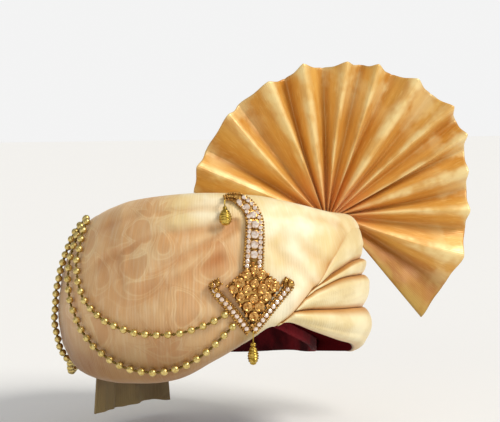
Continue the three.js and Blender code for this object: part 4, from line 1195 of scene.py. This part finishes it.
def cut_stone():
    """A cut stone of radius one: three rings of eight corners, each ring turned by half a corner from the
    one below, under a flat table."""
    turn = np.arange(8) * math.pi / 4
    rings = [np.stack([r * np.cos(turn + t), r * np.sin(turn + t), h + 0 * turn], axis=-1)
             for r, h, t in ((0.55, 0.0, 0.0), (1.0, 0.35, 0.0), (0.84, 0.66, math.pi / 8), (0.5, 0.86, 0.0))]
    points = np.concatenate([*rings, [[0, 0, 0]], [[0, 0, 0.86]]])
    index = np.arange(32).reshape(4, 8)
    after = np.roll(index, -1, axis=1)
    base = np.stack([index[0], after[0], after[1], index[1]], axis=-1)
    facets = [(index[1], after[1], index[2]), (after[1], after[2], index[2]), (index[2], after[3], index[3]),
              (index[2], after[2], after[3]), (index[3], after[3], np.full(8, 33)),
              (after[0], index[0], np.full(8, 32))]
    return points, np.concatenate([np.stack(corners, axis=-1) for corners in facets]), base


clear_stone, add, sums, band, mix, give = new_material("clear_stone")
stone_tone = noise(add, add("ShaderNodeTexCoord").outputs["Object"], 500.0, 2.0)
give(mix(band(stone_tone, 0.35, 0.65), linear(220, 190, 166), linear(250, 237, 226)), "Base Color")
give(sums("MULTIPLY", stone_tone, 0.16), "Roughness")
give(0.45, "Metallic")
give(1.7, "IOR")
give(1.0, "Coat Weight")
give(0.03, "Coat Roughness")
stem_set = joined_piece("stem_stones", [
    set_in(cut_stone(), *stem_stones.T, 0.0, 0)], facets=True)
declare(stem_set, clear_stone, "clear_stone", *[f"stem_stone_{k}" for k in range(1, 8)])
arm_set = joined_piece("arm_stones", [set_in(cut_stone(), *arm_places, 1.85, 0.0, 0)], facets=True)
declare(arm_set, clear_stone, "clear_stone")


# The drops
# Two small gilt drops: one hangs from the stem's hook on a wire over the shoulder of the cloth, the other
# from the brooch's lowest point, with a link, a cap and a ribbed bead.
drop_wire = 0.5
ring_pitch, ring_depth = 1.9, 0.07
upper_lean = math.radians(24)
hook_lift, link_lift = 2.8, 4.1
hook_at = on_brooch(np.array([-17.0]), np.array([66.5]), hook_lift)[0]
outward = hook_at * [1, 1, 0] / np.linalg.norm(hook_at[:2])
upper_down = outward * math.sin(upper_lean) - np.array([0, 0, math.cos(upper_lean)])
upper_start = hook_at + outward * 4.5
lower_hook = on_brooch(np.array([1.5]), np.array([-29.0]), hook_lift)[0]
lower_start = on_brooch(np.array([1.5]), np.array([-32.0]), link_lift)[0]


def drop_piece(name, hook, start, down, rows, node):
    """A drop: its wire from the hook, and a form turned about the line that it hangs on, with fine rings
    round it. rows are the radius and the distance down from the start."""
    profile = np.array(rows, float)
    lower = np.linspace(profile[0, 1], profile[-1, 1], 80)
    ringed = 1 + ring_depth * np.cos(2 * math.pi * lower / ring_pitch)
    radius = np.interp(lower, profile[:, 1], profile[:, 0]) * ringed
    form = turned_form(np.column_stack([radius, lower]).tolist(), 28)
    turns = frames(down[None], np.array([[1.0, 0.3, 0.0]]))
    wire = np.array([hook, start, start + down * rows[1][1]])
    fine = np.linspace(0, 2, 13)
    wire = np.stack([np.interp(fine, [0, 1, 2], wire[:, k]) for k in range(3)], axis=-1)
    piece = joined_piece(name, [copies(form, start[None], turns, 1.0, 1), tube_along(wire, drop_wire, 8, 0)])
    declare(piece, drop_gilt, "drop_gilt", node)


drop_gilt = plated(
    "drop_gilt", 380.0, 3.0, (linear(158, 126, 40), linear(214, 182, 88)), (0.16, 0.2), (0.3, 0.0003), 0.9)
drop_piece("upper_drop_piece", hook_at, upper_start, upper_down, [
    (0, 5.0), (0.7, 5.2), (1.6, 6.2), (1.9, 7.0), (1.5, 7.6), (2.4, 8.4), (3.6, 10.4), (4.4, 12.8),
    (4.6, 15.0), (4.1, 17.2), (2.8, 19.0), (1.2, 19.8), (0, 20.0)], "upper_drop")
drop_piece("lower_drop_piece", lower_hook, lower_start, np.array([0.0, 0.0, -1.0]), [
    (0, 5.0), (0.8, 5.1), (1.9, 6.0), (2.2, 7.2), (1.4, 8.2), (2.4, 9.4), (3.3, 11.5), (3.9, 14.2),
    (3.9, 16.8), (3.2, 19.2), (1.8, 21.3), (0, 22.0)], "lower_drop")


# Floor and light
# A pale floor a little under the part, and an even white surround. A broad soft light comes from the upper
# front on the wearer's left and a weaker one from the other side.
floor_drop = 12.0
floor_size = 8.0
floor_z = cad_box[0][2] - floor_drop * 0.001
floor_mesh = bpy.data.meshes.new("floor")
floor_mesh.from_pydata([
    (-floor_size, -floor_size, floor_z), (floor_size, -floor_size, floor_z),
    (floor_size, floor_size, floor_z), (-floor_size, floor_size, floor_z)], [], [(0, 1, 2, 3)])
floor = bpy.data.objects.new("floor", floor_mesh)
bpy.context.collection.objects.link(floor)
floor_paint, *_, give = new_material("floor_paint")
give((0.86, 0.86, 0.85, 1.0), "Base Color")
give(0.9, "Roughness")
give((1.0, 1.0, 1.0, 1.0), "Emission Color")
give(0.1, "Emission Strength")
floor.data.materials.append(floor_paint)

world = bpy.data.worlds.new("studio")
world.use_nodes = True
studio = world.node_tree
ambient, backdrop = studio.nodes["Background"], studio.nodes.new("ShaderNodeBackground")
for background, strength in ((ambient, 0.42), (backdrop, 0.9)):
    background.inputs[0].default_value = (1.0, 1.0, 1.0, 1.0)
    background.inputs[1].default_value = strength
seen = studio.nodes.new("ShaderNodeLightPath")
either = studio.nodes.new("ShaderNodeMixShader")
studio.links.new(seen.outputs["Is Camera Ray"], either.inputs[0])
studio.links.new(ambient.outputs[0], either.inputs[1])
studio.links.new(backdrop.outputs[0], either.inputs[2])
studio.links.new(either.outputs[0], studio.nodes["World Output"].inputs[0])
bpy.context.scene.world = world
bpy.context.scene.view_settings.view_transform = "Standard"


def soft_sun(name, way, spread, strength, colour):
    """A broad, even light from far off, from the direction way towards the part."""
    data = bpy.data.lights.new(name, "SUN")
    data.angle, data.energy, data.color = math.radians(spread), strength, colour
    lamp = bpy.data.objects.new(name, data)
    back = np.array(way) / np.linalg.norm(way)
    side = np.cross([0.0, 0.0, 1.0], back)
    side = side / np.linalg.norm(side)
    lamp.matrix_world = Matrix(np.column_stack([side, np.cross(back, side), back]).tolist()).to_4x4()
    bpy.context.collection.objects.link(lamp)


soft_sun("key_light", (0.75, -1.0, 1.2), 20, 2.3, (1.0, 0.96, 0.9))
soft_sun("fill_light", (-1.2, -1.2, 0.6), 40, 0.25, (1.0, 0.95, 0.88))
